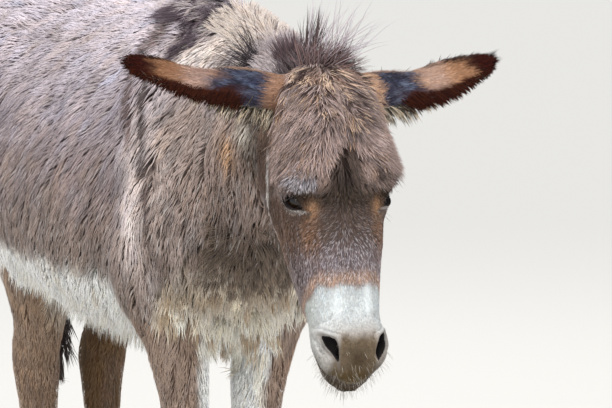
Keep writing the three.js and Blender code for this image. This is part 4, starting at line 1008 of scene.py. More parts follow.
def markings(P, N, part):
    """Colour of the coat's tips and of its depths at each point, as linear RGB."""
    x, y, z = P.T
    s = np.abs(x)
    n1, n2, n3 = lattice_noise(P, 90, 1), lattice_noise(P, 34, 2), lattice_noise(P, 13, 3)
    # grey-brown body, palest along the back, browner below
    t = clamp((z + 30 * n1 + 12 * n2 - 620) / 470, 0, 1)
    tip = np.stack([np.interp(t, [0, 0.30, 0.52, 0.70, 1], c) for c in ([0.285, 0.295, 0.290, 0.45, 0.66], [0.220, 0.226, 0.230, 0.385, 0.58], [0.183, 0.198, 0.230, 0.415, 0.625])], 1)
    # lilac patches on the upper body: partly tone that differs at random, partly painted highlight from above
    tip = mix(tip, (0.58, 0.52, 0.58), step(0.1, 0.9, n2) * 0.35 * step(760, 940, z))
    tip = mix(tip, (0.40, 0.30, 0.235), step(0.15, 0.9, -n2) * 0.4)
    near = (part == NECK_) | ((part == TRUNK_) & (y < 40))
    neck_ = np.where(near, 1.0, 0.0) * (1 - step(-130, -40, y))
    tip = mix(tip, (0.445, 0.35, 0.307), neck_ * (1 - step(950, 1060, z)) * 0.9)
    tip = mix(tip, (0.345, 0.257, 0.22), neck_ * (1 - step(-250, -170, y)) * (1 - step(900, 1000, z)) * 0.85)
    smoke = spot(P, (-150, -185, 815), (30, 26, 34)) + 0.35 * spot(P, (-60, -250, 830), (34, 30, 40))
    tip = mix(tip, (0.155, 0.125, 0.12), np.minimum(smoke, 1) * 0.6 * step(-0.5, 0.6, n3 + 0.4))
    for sd in (-1, 1):  # brown front of the arm
        tip = mix(tip, (0.25, 0.165, 0.125), spot(P, (140 * sd, -128, 725), (30, 26, 70)) * 0.8)
    # pale front of the shoulder, brown behind the crease
    for sd in (-1, 1):
        tip = mix(tip, (0.80, 0.69, 0.665), spot(P, (184 * sd, -100, 800), (80, 46, 120)) * 0.95)
        tip = mix(tip, (0.62, 0.53, 0.51), spot(P, (172 * sd, -60, 900), (60, 30, 60)) * 0.7)
        tip = mix(tip, (0.20, 0.14, 0.115), spot(P, (150 * sd, -152, 745), (34, 18, 64)) * 0.75)
        # painted shade in the crease at the upper end of the arm
        tip = mix(tip, (0.17, 0.12, 0.10), spot(P, (168 * sd, -140, 845), (16, 9, 34)) * 0.8)
    # top of the neck: pale tan
    tip = mix(tip, (0.79, 0.685, 0.63), near * step(1000, 1050, z + 14 * n2) * step(-400, -320, y) * (1 - step(-110, -20, y)) * 0.92)
    for sd in (-1, 1):  # greyer towards the poll
        tip = mix(tip, (0.40, 0.36, 0.42), spot(P, (30 * sd, -310, 1095), (26, 34, 26)) * 0.65)
    # dark throat and breast, and darker neck behind the jaw: partly dark hair, partly painted shade under the head and
    # neck
    dk = np.exp(-(((z - 745 + 14 * n2) / 66) ** 2)) * (1 - step(-176, -120, y)) * (part != HEAD_) * (1 - step(88, 140, s))
    tip = mix(tip, (0.125, 0.092, 0.07), dk * 0.92)
    tip = mix(tip, (0.17, 0.12, 0.085), (part == NECK_) * (1 - step(-376, -322, y)) * (1 - step(960, 1030, z)) * 0.85)
    # white belly, cream breast foot and inner forelegs
    edge = z + 12 * n2 + 7 * n3
    belly = (1 - step(655, 705, edge)) * step(-20, 70, y) * (1 - step(640, 760, y)) * (part == TRUNK_)
    tip = mix(tip, (0.98, 0.965, 0.91), belly)
    fore = (part == FORE_R) | (part == FORE_L)
    hind = (part == HIND_R) | (part == HIND_L)
    legs = fore | hind
    tip = mix(tip, (0.35, 0.255, 0.20), fore * 1.0)
    tip = mix(tip, (0.38, 0.265, 0.185), hind * 1.0)
    # painted shade: the left hind leg is painted dark brown
    tip = mix(tip, (0.155, 0.083, 0.026), hind * (x > 0) * 0.84)
    tip = mix(tip, (0.19, 0.13, 0.10), legs * step(0.1, 0.7, n2) * 0.6)
    lim = np.where(x > 0, np.interp(z, [450, 540, 610], [64, 72, 88]), 58.0)
    inner = step(-8, 14, lim + 7 * n2 - s) * np.where(fore, 1, 0)
    inner = np.maximum(inner, step(0.25, 0.7, -N[:, 0] * np.sign(x)) * fore * np.where(x > 0, 1, 0.7))
    tip = mix(tip, (0.95, 0.94, 0.89), inner * np.interp(z, [120, 300, 420, 520], [0.3, 0.7, 1.0, 1.0]))
    foot = (1 - step(655, 722, edge)) * (1 - step(-10, 70, y)) * (part == TRUNK_) * (1 - step(122, 150, s))
    tip = mix(tip, (0.83, 0.755, 0.62), foot)
    tip = mix(tip, (0.34, 0.25, 0.165), foot * step(-0.1, 0.5, n2 + 0.5 * n3 + 0.35 * step(20, 80, -x)) * (0.7 + 0.2 * step(35, 75, -x) - 0.5 * step(0, 40, x)))
    tip = mix(tip, (0.66, 0.60, 0.50), hind * (N[:, 0] * np.sign(x) < 0.1) * step(470, 560, z) * 0.6)
    bars = hind | fore
    tip = mix(tip, (0.10, 0.07, 0.055), bars * step(0.55, 0.95, np.sin(z / 8.5 + 2 * n1) * 0.5 + 0.5) * (z < 470) * (z > 250) * 0.22)
    tip = mix(tip, (0.13, 0.095, 0.075), legs * (1 - step(60, 110, z)) * 0.6)
    # dark cross: stripe along the spine and down both shoulders
    M = P.copy()
    M[:, 0] = s
    st = line_distance(M, STRIPE) + 3.0 * n3
    tip = mix(tip, (0.19, 0.13, 0.12), (1 - step(5, np.interp(z, [900, 1030, 1080], [17, 19, 26]), st)) * 0.95 * step(880, 930, z))
    spine = (1 - step(6, 22, s + 5 * n3)) * step(0.5, 0.8, N[:, 2]) * step(-10, 60, y) * (part == TRUNK_)
    tip = mix(tip, (0.17, 0.12, 0.11), spine * 0.85)
    tip = mix(tip, (0.19, 0.14, 0.12), (part == TAIL_) * 0.7)
    tip = mix(tip, (0.075, 0.052, 0.045), (part == TAIL_) * (1 - step(600, 680, z)))
    # painted shade along the thin crease where the neck meets the shoulder, broken by a small brown tick on the right
    for line, near_, far, tone in ((CREASE_UP, 5, 15, 0.42), (CREASE_LOW, 3, 11, 1.0)):
        tip = mix(tip, np.array([0.125, 0.086, 0.078]) * tone, (1 - step(near_, far, line_distance(M, line) + 2.0 * n3)) * (0.92 if tone < 1 else 0.84))
    tip = mix(tip, (0.40, 0.25, 0.19), spot(P, (-172, -116, 861), (12, 12, 5)) * 0.8)
    # dark hair that has fallen from the mane
    for at, r in (((-48, 2, 1124), (24, 46, 22)), ((-56, -60, 1100), (17, 26, 22)), ((-64, -100, 1082), (18, 40, 15)), ((-88, -62, 1060), (16, 20, 14)), ((-66, -228, 1050), (12, 44, 9))):
        tip = mix(tip, (0.13, 0.095, 0.115), spot(P, at, r) * 0.9)
    # tan patch and cream hair on the side of the neck below the ear, with painted shadow under the ear
    for sd in (-1, 1):
        # painted shadow: dark patches on the neck just under each ear
        tip = mix(tip, (0.105, 0.078, 0.062), spot(P, (80 * sd, -376, 926), (26, 32, 44)) * 0.85)
        tip = mix(tip, (0.075, 0.048, 0.034), spot(P, (80 * sd, -370, 976), (26, 44, 15)) * 0.85)
        tip = mix(tip, (0.62, 0.36, 0.185), spot(P, (92 * sd, -300, 914), (16, 20, 26)) * 0.9)
        tip = mix(tip, (0.80, 0.73, 0.62), spot(P, (85 * sd, -352, 950), (20, 22, 18)) * 0.85)
    root = tip * (np.array([0.77, 0.72, 0.69]) + 0.08 * neck_[:, None])
    root = mix(root, tip * 0.98, belly)
    root = mix(root, tip * 0.94, np.maximum(foot * 0.8, inner * (z > 300)))
    # ------------ head
    m = np.nonzero(part == HEAD_)[0]
    a, b, c = to_head(P[m]).T
    s = np.abs(c)
    k1, k2, k3 = n1[m], n2[m], n3[m]
    h = np.tile([0.128, 0.090, 0.076], (len(m), 1))
    # painted shadow that the forelock casts on the forehead under it
    h = mix(h, (0.046, 0.030, 0.019), np.exp(-(((a - 184) / 26) ** 2)) * step(-60, -20, b) * 0.92)
    h = mix(h, (0.25, 0.205, 0.22), step(236, 285, a) * 0.8)
    h = mix(h, (0.116, 0.072, 0.052), (1 - step(-95, -40, b)) * 0.85)
    h = mix(h, (0.31, 0.255, 0.245), (1 - step(-95, -40, b)) * step(255, 300, a) * 0.7)
    # a pale line along the jaw's lower edge: partly pale hair, partly painted rim highlight
    h = mix(h, (0.58, 0.50, 0.46), (1 - step(6, 16, b - HEAD.low(a))) * step(90, 140, a) * (1 - step(250, 300, a)) * 0.9)
    # forelock: pale taupe lobes with painted shade on the forehead in the parting between them, tan and dark bits
    # between the ears
    fl = (1 - step(150, 186, a)) * step(-100, -50, b)
    h = mix(h, (0.42, 0.31, 0.275), fl * np.maximum(step(8, 30, s + 8 * k3), 1 - step(88, 112, a + 10 * k3)) * 0.95)
    # painted shade in the parting of the forelock
    h = mix(h, (0.036, 0.024, 0.018), np.exp(-(((c - 3) / (9 + 0.5 * clamp(a - 128, 0, 60))) ** 2) - (((a - 158) / 27) ** 2)) * 0.98)
    h = mix(h, (0.48, 0.31, 0.22), (1 - step(40, 90, a + 20 * k3)) * step(-0.1, 0.5, k2) * 0.7)
    h = mix(h, (0.12, 0.085, 0.075), (1 - step(60, 100, a)) * step(0.25, 0.6, k3) * 0.7 * step(-100, -50, b))
    h = mix(h, (0.52, 0.48, 0.50), np.exp(-(((a - 162) / 8) ** 2) - (((c + 62) / 11) ** 2)) * 0.6)
    h = mix(h, (0.52, 0.36, 0.26), np.exp(-(((b + 78) / 22) ** 2) - (((a - 45) / 40) ** 2)) * 0.8)  # tan below the ears
    M = np.stack([a, b, s], 1)
    # pale hair along the rim of the jaw, brightened as a painted rim highlight
    h = mix(h, (0.70, 0.64, 0.61), (1 - step(3.5, 10, line_distance(M, JAW_RIM) + 1.5 * k3)) * 0.85)
    # rust at the inner corners of the eyes, running down
    h = mix(h, (0.46, 0.26, 0.14), np.exp(-(((a - 203) / 12) ** 2) - (((s - 50) / 9) ** 2)) * 0.9)
    h = mix(h, (0.27, 0.145, 0.084), np.exp(-(((a - 240) / 36) ** 2) - (((s - 53) / 12) ** 2)) * 0.75)
    h = mix(h, (0.20, 0.115, 0.07), np.exp(-(((a - 215) / 40) ** 2) - (((b + 62) / 22) ** 2)) * step(55, 70, s) * 0.6)
    # rusty band, then the pale muzzle
    top = 316 + 0.72 * np.maximum(0, -22 - b) + 5 * k3 + 3 * np.sin(c / 7)
    h = mix(h, (0.50, 0.335, 0.25), np.exp(-(((a - top + 9) / 11) ** 2)) * 0.85)
    pale = step(-5, 9, a - top)
    h = mix(h, np.array([0.605, 0.635, 0.63]) * (1 + 0.10 * lattice_noise(P[m], 5, 9) + 0.05 * k2)[:, None], pale)
    h = mix(h, (0.585, 0.615, 0.57), pale * (1 - step(-60, -24, b)) * 0.8)
    h = mix(h, (0.52, 0.50, 0.475), pale * step(352, 392, a + 5 * k2) * 0.75)
    sm = np.abs(c - MUZZLE_MID)
    grey = step(380, 404, a + 6 * k3 + 4 * k2) * (1 - step(25, 41, sm - 0.45 * (a - 405)))
    h = mix(h, (0.47, 0.405, 0.35), step(368, 402, a + 7 * k2) * (1 - step(24, 42, sm)) * 0.8)
    h = mix(h, (0.120, 0.082, 0.044), grey * 0.94)
    h = mix(h, (0.050, 0.032, 0.017), np.exp(-(((a - 430) / 16) ** 2) - (((c - MUZZLE_MID + 1) / (15 + 5 * k3)) ** 2)) * 0.85)
    h = mix(h, (0.34, 0.315, 0.285), step(398, 424, a) * step(30, 42, s) * 0.75)
    h = mix(h, (0.088, 0.056, 0.020), step(436, 452, a) * 0.88 * step(0, 6, mouth_gap(a, b)))
    h = mix(h, (0.36, 0.31, 0.23), np.exp(-(((mouth_gap(a, b) - 5.5) / 2.0) ** 2)) * step(440, 456, a) * 0.45)
    h = mix(h, (0.36, 0.33, 0.29), step(408, 424, a) * np.exp(-(((s - 33) / 7) ** 2)) * (b < -42) * 0.6)
    h = mix(h, (0.052, 0.034, 0.017), step(1, 5, -mouth_gap(a, b)) * step(386, 406, a) * 0.9)
    rootm = h * np.array([0.5, 0.46, 0.43])
    rootm = mix(rootm, h * 0.8, pale)
    for e in (-1, 1):  # dark lids
        d = P[m] - EYES[e]
        out_, long_, high = eye_axes(e)
        u, v, w = d @ long_, d @ high, d @ out_
        over, under = lid_lines(u, v)
        r = np.linalg.norm(d, axis=1)
        near = (r < 36) * (w > 2)
        h = mix(h, (0.075, 0.06, 0.055), near * (1 - step(2.5, 6.5, np.abs(over))) * 0.9)
        h = mix(h, (0.40, 0.30, 0.25), near * np.exp(-(((under - 9) / 3.5) ** 2) - (((u - 6) / 11) ** 2)) * 0.8)
        h = mix(h, (0.86, 0.80, 0.76), near * np.exp(-(((under - 4.2) / 3.0) ** 2)) * (over < 2) * 0.85)
        h = mix(h, (0.022, 0.016, 0.015), near * (np.maximum(over, under) < 1.4) * 1.0)
    hole, al, w = nostril_hole(a, b, c)
    inn = (hole < 1.12) * (w < 8) * (w > -40)
    # inside the nostril: dark lining, deepened to near black as painted shade
    h = mix(h, (0.012, 0.009, 0.009), inn * 1.0)
    h = mix(h, (0.17, 0.145, 0.125), (hole >= 1.12) * (1 - step(1.25, 2.1, hole)) * (w > -20) * (w < 14) * 0.75)
    seam = mouth_gap(a, b)
    h = mix(h, (0.045, 0.035, 0.03), np.exp(-((seam / 3.6) ** 2)) * step(380, 398, a) * 0.95)
    rootm = np.where((inn[:, None] > 0), h, np.minimum(rootm, h))
    tip[m], root[m] = h, rootm
    # ------------ ears
    for e, k in ((-1, EAR_R), (1, EAR_L)):
        m = np.nonzero(part == k)[0]
        if len(m) == 0:
            continue
        way, back, across, base = EAR_FRAMES[e]
        t, q, c = to_ear(P[m], e)
        w = EAR_HALF(clamp(t, -40, 245))
        lowside = (c * np.sign(across[2]) < 0)
        edge = np.abs(c) / w
        k2, k3 = n2[m], n3[m]
        # painted light: the left ear's rust is painted paler than the right's
        h = np.tile([0.345, 0.200, 0.133] if e < 0 else [0.55, 0.337, 0.216], (len(m), 1))
        # painted highlight: a greyer band across the middle of each ear
        h = mix(h, (0.50, 0.36, 0.32), step(112, 134, t) * (1 - step(150, 180, t)) * 0.5)
        slate = step(30, 52, t + 8 * k3) * (1 - step(94, 126, t + 12 * k3 + 16 * np.where(lowside, -edge, edge)))
        fine = lattice_noise(P[m], 5.5, 11) + 0.5 * k3
        h = mix(h, (0.037, 0.049, 0.094), slate * 0.96)
        h = mix(h, (0.013, 0.012, 0.016), slate * step(0.0, 0.5, fine) * (0.8 if e < 0 else 0.6))
        h = mix(h, (0.145, 0.175, 0.245), slate * step(0.1, 0.6, -fine) * (0.62 if e < 0 else 0.85))
        h = mix(h, (0.34, 0.165, 0.080), step(150, 190, t) * 0.75)
        h = mix(h, (0.036, 0.007, 0.003), step(196, 224, t + 10 * k3) * 0.96)
        low = lowside * step(0.54, 0.87, edge + 0.14 * k3 + 0.16 * (1 - step(90, 150, t)))
        h = mix(h, (0.058, 0.014, 0.005), low * step(45, 100, t) * 0.95)
        h = mix(h, (0.06, 0.032, 0.028), (~lowside) * step(0.72, 0.98, edge) * step(130, 180, t) * 0.8)
        rootm = h * np.array([0.5, 0.42, 0.38])
        inside = (N[m] @ back) < -0.1
        h = mix(h, (0.74, 0.69, 0.57), inside * (1 - step(190, 235, t)) * 0.9)
        rootm = mix(rootm, (0.38, 0.32, 0.25), inside * 0.9)
        tip[m], root[m] = h, rootm
    return tip, root


def eye_axes(e):
    out_, long_ = (unit(v[0] * HEAD_A + v[1] * HEAD_B + e * v[2] * HEAD_C) for v in (EYE_OUT, EYE_LONG))
    long_ = unit(long_ - (long_ @ out_) * out_)
    high = unit(np.cross(out_, long_))
    return out_, long_, (high if high @ (-HEAD_A) > 0 else -high)


def lid_lines(u, v):
    """Heights over the upper lid's edge and under the lower lid's edge; both negative in the opening."""
    camber = 2.2 * (u / 22) - 1.2 * (u / 22) ** 2
    up = LID_UP * np.maximum(1 - np.abs((u + 2) / 23) ** 2.3, -0.4)
    dn = LID_DOWN * np.maximum(1 - np.abs((u - 4) / 22) ** 2.0, -0.4)
    return v - camber - up, camber - dn - v


# ------------------------------------------------------------------ materials
def coat_material(name, sheen, rough, skin_like=False, gloss=0.25):
    m = bpy.data.materials.new(name)
    m.use_nodes = True
    nt = m.node_tree
    bsdf = nt.nodes["Principled BSDF"]
    bsdf.inputs["Roughness"].default_value = rough
    bsdf.inputs["Specular IOR Level"].default_value = gloss
    bsdf.inputs["Sheen Weight"].default_value = sheen
    bsdf.inputs["Sheen Roughness"].default_value = 0.45
    bsdf.inputs["Sheen Tint"].default_value = (0.92, 0.88, 0.95, 1)
    att = nt.nodes.new("ShaderNodeAttribute")
    att.attribute_name = "Col"
    geo = nt.nodes.new("ShaderNodeTexCoord")
    noise = nt.nodes.new("ShaderNodeTexNoise")
    noise.inputs["Scale"].default_value = 260.0
    noise.inputs["Detail"].default_value = 3.0
    nt.links.new(geo.outputs["Object"], noise.inputs["Vector"])
    ramp = nt.nodes.new("ShaderNodeMapRange")
    ramp.inputs["From Min"].default_value, ramp.inputs["From Max"].default_value = 0.25, 0.75
    ramp.inputs["To Min"].default_value, ramp.inputs["To Max"].default_value = (0.86, 1.14) if not skin_like else (0.78, 1.16)
    nt.links.new(noise.outputs["Fac"], ramp.inputs["Value"])
    mul = nt.nodes.new("ShaderNodeVectorMath")
    mul.operation = "MULTIPLY"
    nt.links.new(att.outputs["Color"], mul.inputs[0])
    nt.links.new(ramp.outputs["Result"], mul.inputs[1])
    nt.links.new(mul.outputs["Vector"], bsdf.inputs["Base Color"])
    if not skin_like:  # single hairs within each tuft
        st = nt.nodes.new("ShaderNodeAttribute")
        st.attribute_name = "Strand"
        hair = nt.nodes.new("ShaderNodeTexNoise")
        hair.inputs["Scale"].default_value = 3.2
        hair.inputs["Detail"].default_value = 1.0
        nt.links.new(st.outputs["Vector"], hair.inputs["Vector"])
        r2 = nt.nodes.new("ShaderNodeMapRange")
        r2.inputs["From Min"].default_value, r2.inputs["From Max"].default_value = 0.3, 0.7
        r2.inputs["To Min"].default_value, r2.inputs["To Max"].default_value = 0.80, 1.18
        nt.links.new(hair.outputs["Fac"], r2.inputs["Value"])
        m2 = nt.nodes.new("ShaderNodeVectorMath")
        m2.operation = "MULTIPLY"
        nt.links.new(mul.outputs["Vector"], m2.inputs[0])
        nt.links.new(r2.outputs["Result"], m2.inputs[1])
        nt.links.new(m2.outputs["Vector"], bsdf.inputs["Base Color"])
    if skin_like:  # short hair lying along the skin
        lay = nt.nodes.new("ShaderNodeAttribute")
        lay.attribute_name = "Lay"
        fine = nt.nodes.new("ShaderNodeTexNoise")
        fine.inputs["Scale"].default_value = 900.0
        fine.inputs["Detail"].default_value = 2.0
        nt.links.new(lay.outputs["Vector"], fine.inputs["Vector"])
        bump = nt.nodes.new("ShaderNodeBump")
        bump.inputs["Strength"].default_value = 0.55
        bump.inputs["Distance"].default_value = 0.0012
        nt.links.new(fine.outputs["Fac"], bump.inputs["Height"])
        nt.links.new(bump.outputs["Normal"], bsdf.inputs["Normal"])
    return m


MAT_SKIN = coat_material("short_coat", 0.03, 0.80, True, gloss=0.14)
MAT_COAT = coat_material("body_coat", 0.18, 0.64, gloss=0.2)
MAT_HEAD = coat_material("head_coat", 0.05, 0.68, gloss=0.18)
MAT_MANE = coat_material("mane_hair", 0.06, 0.48, gloss=0.35)
MAT_LEG = coat_material("leg_coat", 0.10, 0.62)
MAT_EAR = coat_material("ear_coat", 0.01, 0.70, gloss=0.06)


def paint(o, C, name="Col"):
    att = o.data.attributes.new(name, "FLOAT_COLOR", "POINT")
    att.data.foreach_set("color", np.concatenate([C, np.ones((len(C), 1))], 1).astype(np.float32).ravel())


def set_uv(o, uv):
    layer = o.data.uv_layers.new(name="OFBake")
    layer.data.foreach_set("uv", np.asarray(uv, np.float32).ravel())


# ------------------------------------------------------------------ the skin piece
vpart = part_of(V)
G = lie(V, VN, vpart)
out_v = np.where(vpart == HEAD_, 0.0, np.where(np.isin(vpart, (EAR_R, EAR_L)), 0.4, 1.0))[:, None]
tipc, rootc = markings(V + (VN * coat_depth(V)[:, None] + G * 18) * out_v, VN, vpart)
a_, b_, c_ = to_head(V).T
bare = (vpart == HEAD_) * step(300, 345, a_)  # the muzzle shows its own surface, elsewhere the skin is the coat's depth
earback = np.isin(vpart, (EAR_R, EAR_L)) * 0.5
SKINC = rootc * 0.9 + (tipc - rootc * 0.9) * np.maximum(bare, earback)[:, None]
face_show = (vpart == HEAD_) * (1 - bare) * step(185, 215, a_) * 0.35
SKINC = SKINC + (tipc - SKINC) * face_show[:, None]
skin_obj = mesh_object("skin", V, T)
paint(skin_obj, SKINC)
set_uv(skin_obj, TUV)
# hair-wise coordinates: fine across the lie, long along it, made from the part's own axes
lay = np.zeros_like(V)
for k in range(10):
    m = vpart == k
    if not m.any():
        continue
    if k == HEAD_:
        q = to_head(V[m]) * [0.16, 1, 1]
    elif k in (EAR_R, EAR_L):
        q = np.stack(to_ear(V[m], -1 if k == EAR_R else 1), 1) * [0.16, 1, 1]
    else:
        q = V[m] * [1, 1, 0.16]
    lay[m] = q * 0.001
att = skin_obj.data.attributes.new("Lay", "FLOAT_VECTOR", "POINT")
att.data.foreach_set("vector", lay.astype(np.float32).ravel())
skin_obj.data.materials.append(MAT_SKIN)
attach(skin_obj, "root")
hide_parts(*[n for n in frame["nodes"] if not n.startswith(("eye", "hoof"))])
say("skin made")

# ------------------------------------------------------------------ tufts
PATCH = 0.003
coat_count = 0


def triangle_frames():
    A = V[T]
    n = np.cross(A[:, 1] - A[:, 0], A[:, 2] - A[:, 0])
    return A.mean(1), np.linalg.norm(n, axis=1) / 2


TC, TA = triangle_frames()


def roots_on(weight, count, gen):
    """count roots spread evenly over the skin's triangles, with that weight for each square millimetre."""
    w = TA * weight
    cum = np.cumsum(w)
    u = (np.arange(count) + gen.random(count)) / count * cum[-1]
    t = np.minimum(np.searchsorted(cum, u), len(T) - 1)
    r1, r2 = np.sqrt(gen.random(count)), gen.random(count)
    bary = np.stack([1 - r1, r1 * (1 - r2), r1 * r2], 1)
    P = (V[T[t]] * bary[:, :, None]).sum(1)
    N = unit((VN[T[t]] * bary[:, :, None]).sum(1))
    uv = (TUV[t] * bary[:, :, None]).sum(1)
    return P, N, uv, TPART[t]


def locks(name, C, W, S, U, Nskin, cols, uv, material, flat=0.45, soft=0.62):
    """Closed tapered locks of hair: root point, rings of three, and tip, joined in meshes of under 200,000 triangles.
    C is count x stations x 3, W the half width at each ring, cols the colour at each station."""
    global coat_count
    n, m = C.shape[:2]
    rings = m - 2
    per = 2 + 3 * rings
    X = np.zeros((n, per, 3))
    NN = np.zeros((n, per, 3))
    K = np.zeros((n, per, 3))
    X[:, 0], X[:, -1] = C[:, 0], C[:, -1]
    NN[:, 0], NN[:, -1] = Nskin, Nskin
    K[:, 0], K[:, -1] = cols[:, 0], cols[:, -1]
    for r in range(rings):
        w = W[:, r][:, None]
        o = 1 + 3 * r
        X[:, o] = C[:, r + 1] + S * w - U * w * flat * 0.5
        X[:, o + 1] = C[:, r + 1] - S * w - U * w * flat * 0.5
        X[:, o + 2] = C[:, r + 1] + U * w * flat
        NN[:, o] = unit(Nskin * soft + (S - U * 0.3) * (1 - soft) * 1.3)
        NN[:, o + 1] = unit(Nskin * soft + (-S - U * 0.3) * (1 - soft) * 1.3)
        NN[:, o + 2] = unit(Nskin * soft + U * (1 - soft) * 1.3)
        for j in range(3):
            K[:, o + j] = cols[:, r + 1]
    F = [(0, 2, 1), (0, 3, 2), (0, 1, 3)]
    for r in range(rings - 1):
        a, b = 1 + 3 * r, 4 + 3 * r
        for j in range(3):
            k = (j + 1) % 3
            F += [(a + j, a + k, b + k), (a + j, b + k, b + j)]
    a, t = 1 + 3 * (rings - 1), per - 1
    F += [(a, a + 1, t), (a + 1, a + 2, t), (a + 2, a, t)]
    F = np.array(F)
    x = X[:64].reshape(-1, 3)
    f = (F[None] + (np.arange(min(64, n)) * per)[:, None, None]).reshape(-1, 3)
    vol = np.einsum("ij,ij->i", x[f[:, 0]], np.cross(x[f[:, 1]], x[f[:, 2]])).sum()
    if vol < 0:
        F = F[:, ::-1]
    across = np.zeros(per)
    along = np.zeros(per)
    along[0], along[-1] = -0.42, 0.42
    for r in range(rings):
        across[1 + 3 * r], across[2 + 3 * r] = -0.42, 0.42
        along[1 + 3 * r:4 + 3 * r] = -0.42 + 0.84 * (r + 1) / (rings + 1)
    middle = (np.floor(uv / PATCH) + 0.5) * PATCH
    most = 196000 // len(F)
    parts = max(1, math.ceil(n / most))
    order = np.array_split(np.arange(n), parts)
    made = []
    for k, ids in enumerate(order):
        c = len(ids)
        FF = (F[None] + (np.arange(c) * per)[:, None, None]).reshape(-1, 3)
        o = mesh_object(name if parts == 1 else f"{name}_{k + 1}", X[ids].reshape(-1, 3), FF)
        paint(o, clamp(K[ids].reshape(-1, 3), 0.002, 0.95))
        strand = np.stack([across[None, :] * 2 * W[ids].max(1)[:, None], np.repeat((along * 8)[None], c, 0), np.repeat(ids[:, None] * 0.37 % 50, per, 1)], 2)
        att = o.data.attributes.new("Strand", "FLOAT_VECTOR", "POINT")
        att.data.foreach_set("vector", strand.reshape(-1, 3).astype(np.float32).ravel())
        puv = np.stack([across, along], 1)[F.ravel()] * PATCH
        set_uv(o, (middle[ids][:, None, :] + puv[None]).reshape(-1, 2))
        nn = unit(NN[ids].reshape(-1, 3))
        o.data.normals_split_custom_set_from_vertices(nn.astype(np.float32))
        o.data.materials.append(material)
        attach(o, "root")
        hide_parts(*hidden)
        made.append(o)
        coat_count += len(FF)
    return made


hidden = [n for n in frame["nodes"] if not n.startswith(("eye", "hoof"))]


def nearest(P, Q):
    tree = kdtree.KDTree(len(Q))
    for i, q in enumerate(Q.tolist()):
        tree.insert(q, i)
    tree.balance()
    find = tree.find
    return np.array([find(p)[1] for p in P.tolist()])


def params(P, N, part):
    """Length, half width, clump size and how strongly tips gather, for the coat's tufts."""
    x, y, z = P.T
    L = np.interp(z, [540, 640, 800, 1000, 1100], [50, 46, 44, 42, 38])
    L = np.where(part == NECK_, 34 + 8 * (1 - step(780, 900, z)), L)
    W = 0.84 + 0.0140 * L
    c = np.full(len(P), 11.0)
    pull = np.full(len(P), 0.34)
    leg = (part >= FORE_R) & (part <= HIND_L)
    L = np.where(leg, np.interp(z, [40, 100, 250, 400, 520, 640], [12, 13, 13, 17, 25, 42]), L)
    W = np.where(leg, np.interp(z, [100, 400, 520, 640], [0.55, 0.62, 0.85, 1.2]), W)
    c = np.where(leg, np.interp(z, [100, 400, 640], [4, 5.5, 10]), c)
    pull = np.where(leg, 0.35, pull)
    tail = part == TAIL_
    L, W = np.where(tail, 34, L), np.where(tail, 1.4, W)
    m = part == HEAD_
    a, b, cc = to_head(P[m]).T
    s = np.abs(cc)
    l = np.interp(a, [-20, 60, 140, 165, 190, 250, 300, 330, 380, 470], [24, 30, 30, 18, 8.0, 8.5, 8.0, 5.0, 3.4, 3.0])
    w = np.interp(a, [-20, 140, 190, 300, 340, 380], [0.9, 0.9, 0.55, 0.55, 0.45, 0.36])
    side = 1 - step(-100, -45, b)
    l = l + (np.interp(a, [-20, 150, 260, 330, 380, 470], [24, 15, 13, 9, 5, 3.5]) - l) * side
    w = w + (np.interp(a, [-20, 150, 300, 380], [0.9, 0.7, 0.6, 0.42]) - w) * side
    for e in EYES.values():
        r = np.linalg.norm(P[m] - e, axis=1)
        k = 1 - step(26, 42, r)
        l, w = l * (1 - 0.55 * k), w * (1 - 0.3 * k)
    L[m], W[m] = l, w
    c[m] = np.clip(l * 0.27, 1.8, 7)
    pull[m] = np.interp(l, [4, 8, 20], [0.1, 0.25, 0.5])
    m = np.isin(part, (EAR_R, EAR_L))
    for e, k in ((-1, EAR_R), (1, EAR_L)):
        m = part == k
        way, back, across, base = EAR_FRAMES[e]
        inside = (N[m] @ back) < -0.1
        t = to_ear(P[m], e)[0]
        L[m] = np.where(inside, 17, np.interp(t, [0, 30, 200, 245], [16, 12, 12, 18]))
        W[m] = 0.52
        c[m] = 4
        pull[m] = 0.3
    return L, W, c, pull


def density(C, part):
    """Tufts for each square millimetre."""
    x, y, z = C.T
    d = np.full(len(C), 1 / 15.5)
    leg = (part >= FORE_R) & (part <= HIND_L)
    d = np.where(leg, np.interp(z, [80, 400, 560, 640], [1 / 11.0, 1 / 9.0, 1 / 10.0, 1 / 14.0]), d)
    d = np.where(z < 46, 0, d)
    a, b, c = to_head(C).T
    m = part == HEAD_
    face = np.interp(a, [-20, 60, 150, 185, 300, 340, 400, 470], [1 / 6.0, 1 / 6.0, 1 / 5.0, 1 / 2.7, 1 / 2.7, 1 / 2.6, 1 / 2.6, 1 / 2.4])
    face = face + (1 / 4.2 - face) * (1 - step(-110, -50, b)) * (a < 360)
    d = np.where(m, face, d)
    d = np.where(np.isin(part, (EAR_R, EAR_L)), 1 / 5.0, d)
    return d


def allowed(P, N, part):
    ok = np.ones(len(P), bool)
    m = np.nonzero(part == HEAD_)[0]
    a, b, c = to_head(P[m]).T
    good = np.ones(len(m), bool)
    for e in (-1, 1):
        d = P[m] - EYES[e]
        out_, long_, high = eye_axes(e)
        over, under = lid_lines(d @ long_, d @ high)
        good &= ~((np.linalg.norm(d, axis=1) < 34) & (d @ out_ > 0) & (np.maximum(over, under) < 3.2))
    hole, al, w = nostril_hole(a, b, c)
    good &= ~((hole < 1.45) & (w < 12) & (w > -45))
    good &= ~((np.abs(mouth_gap(a, b)) < 3.0) & (a > 384))
    ok[m] = good
    return ok


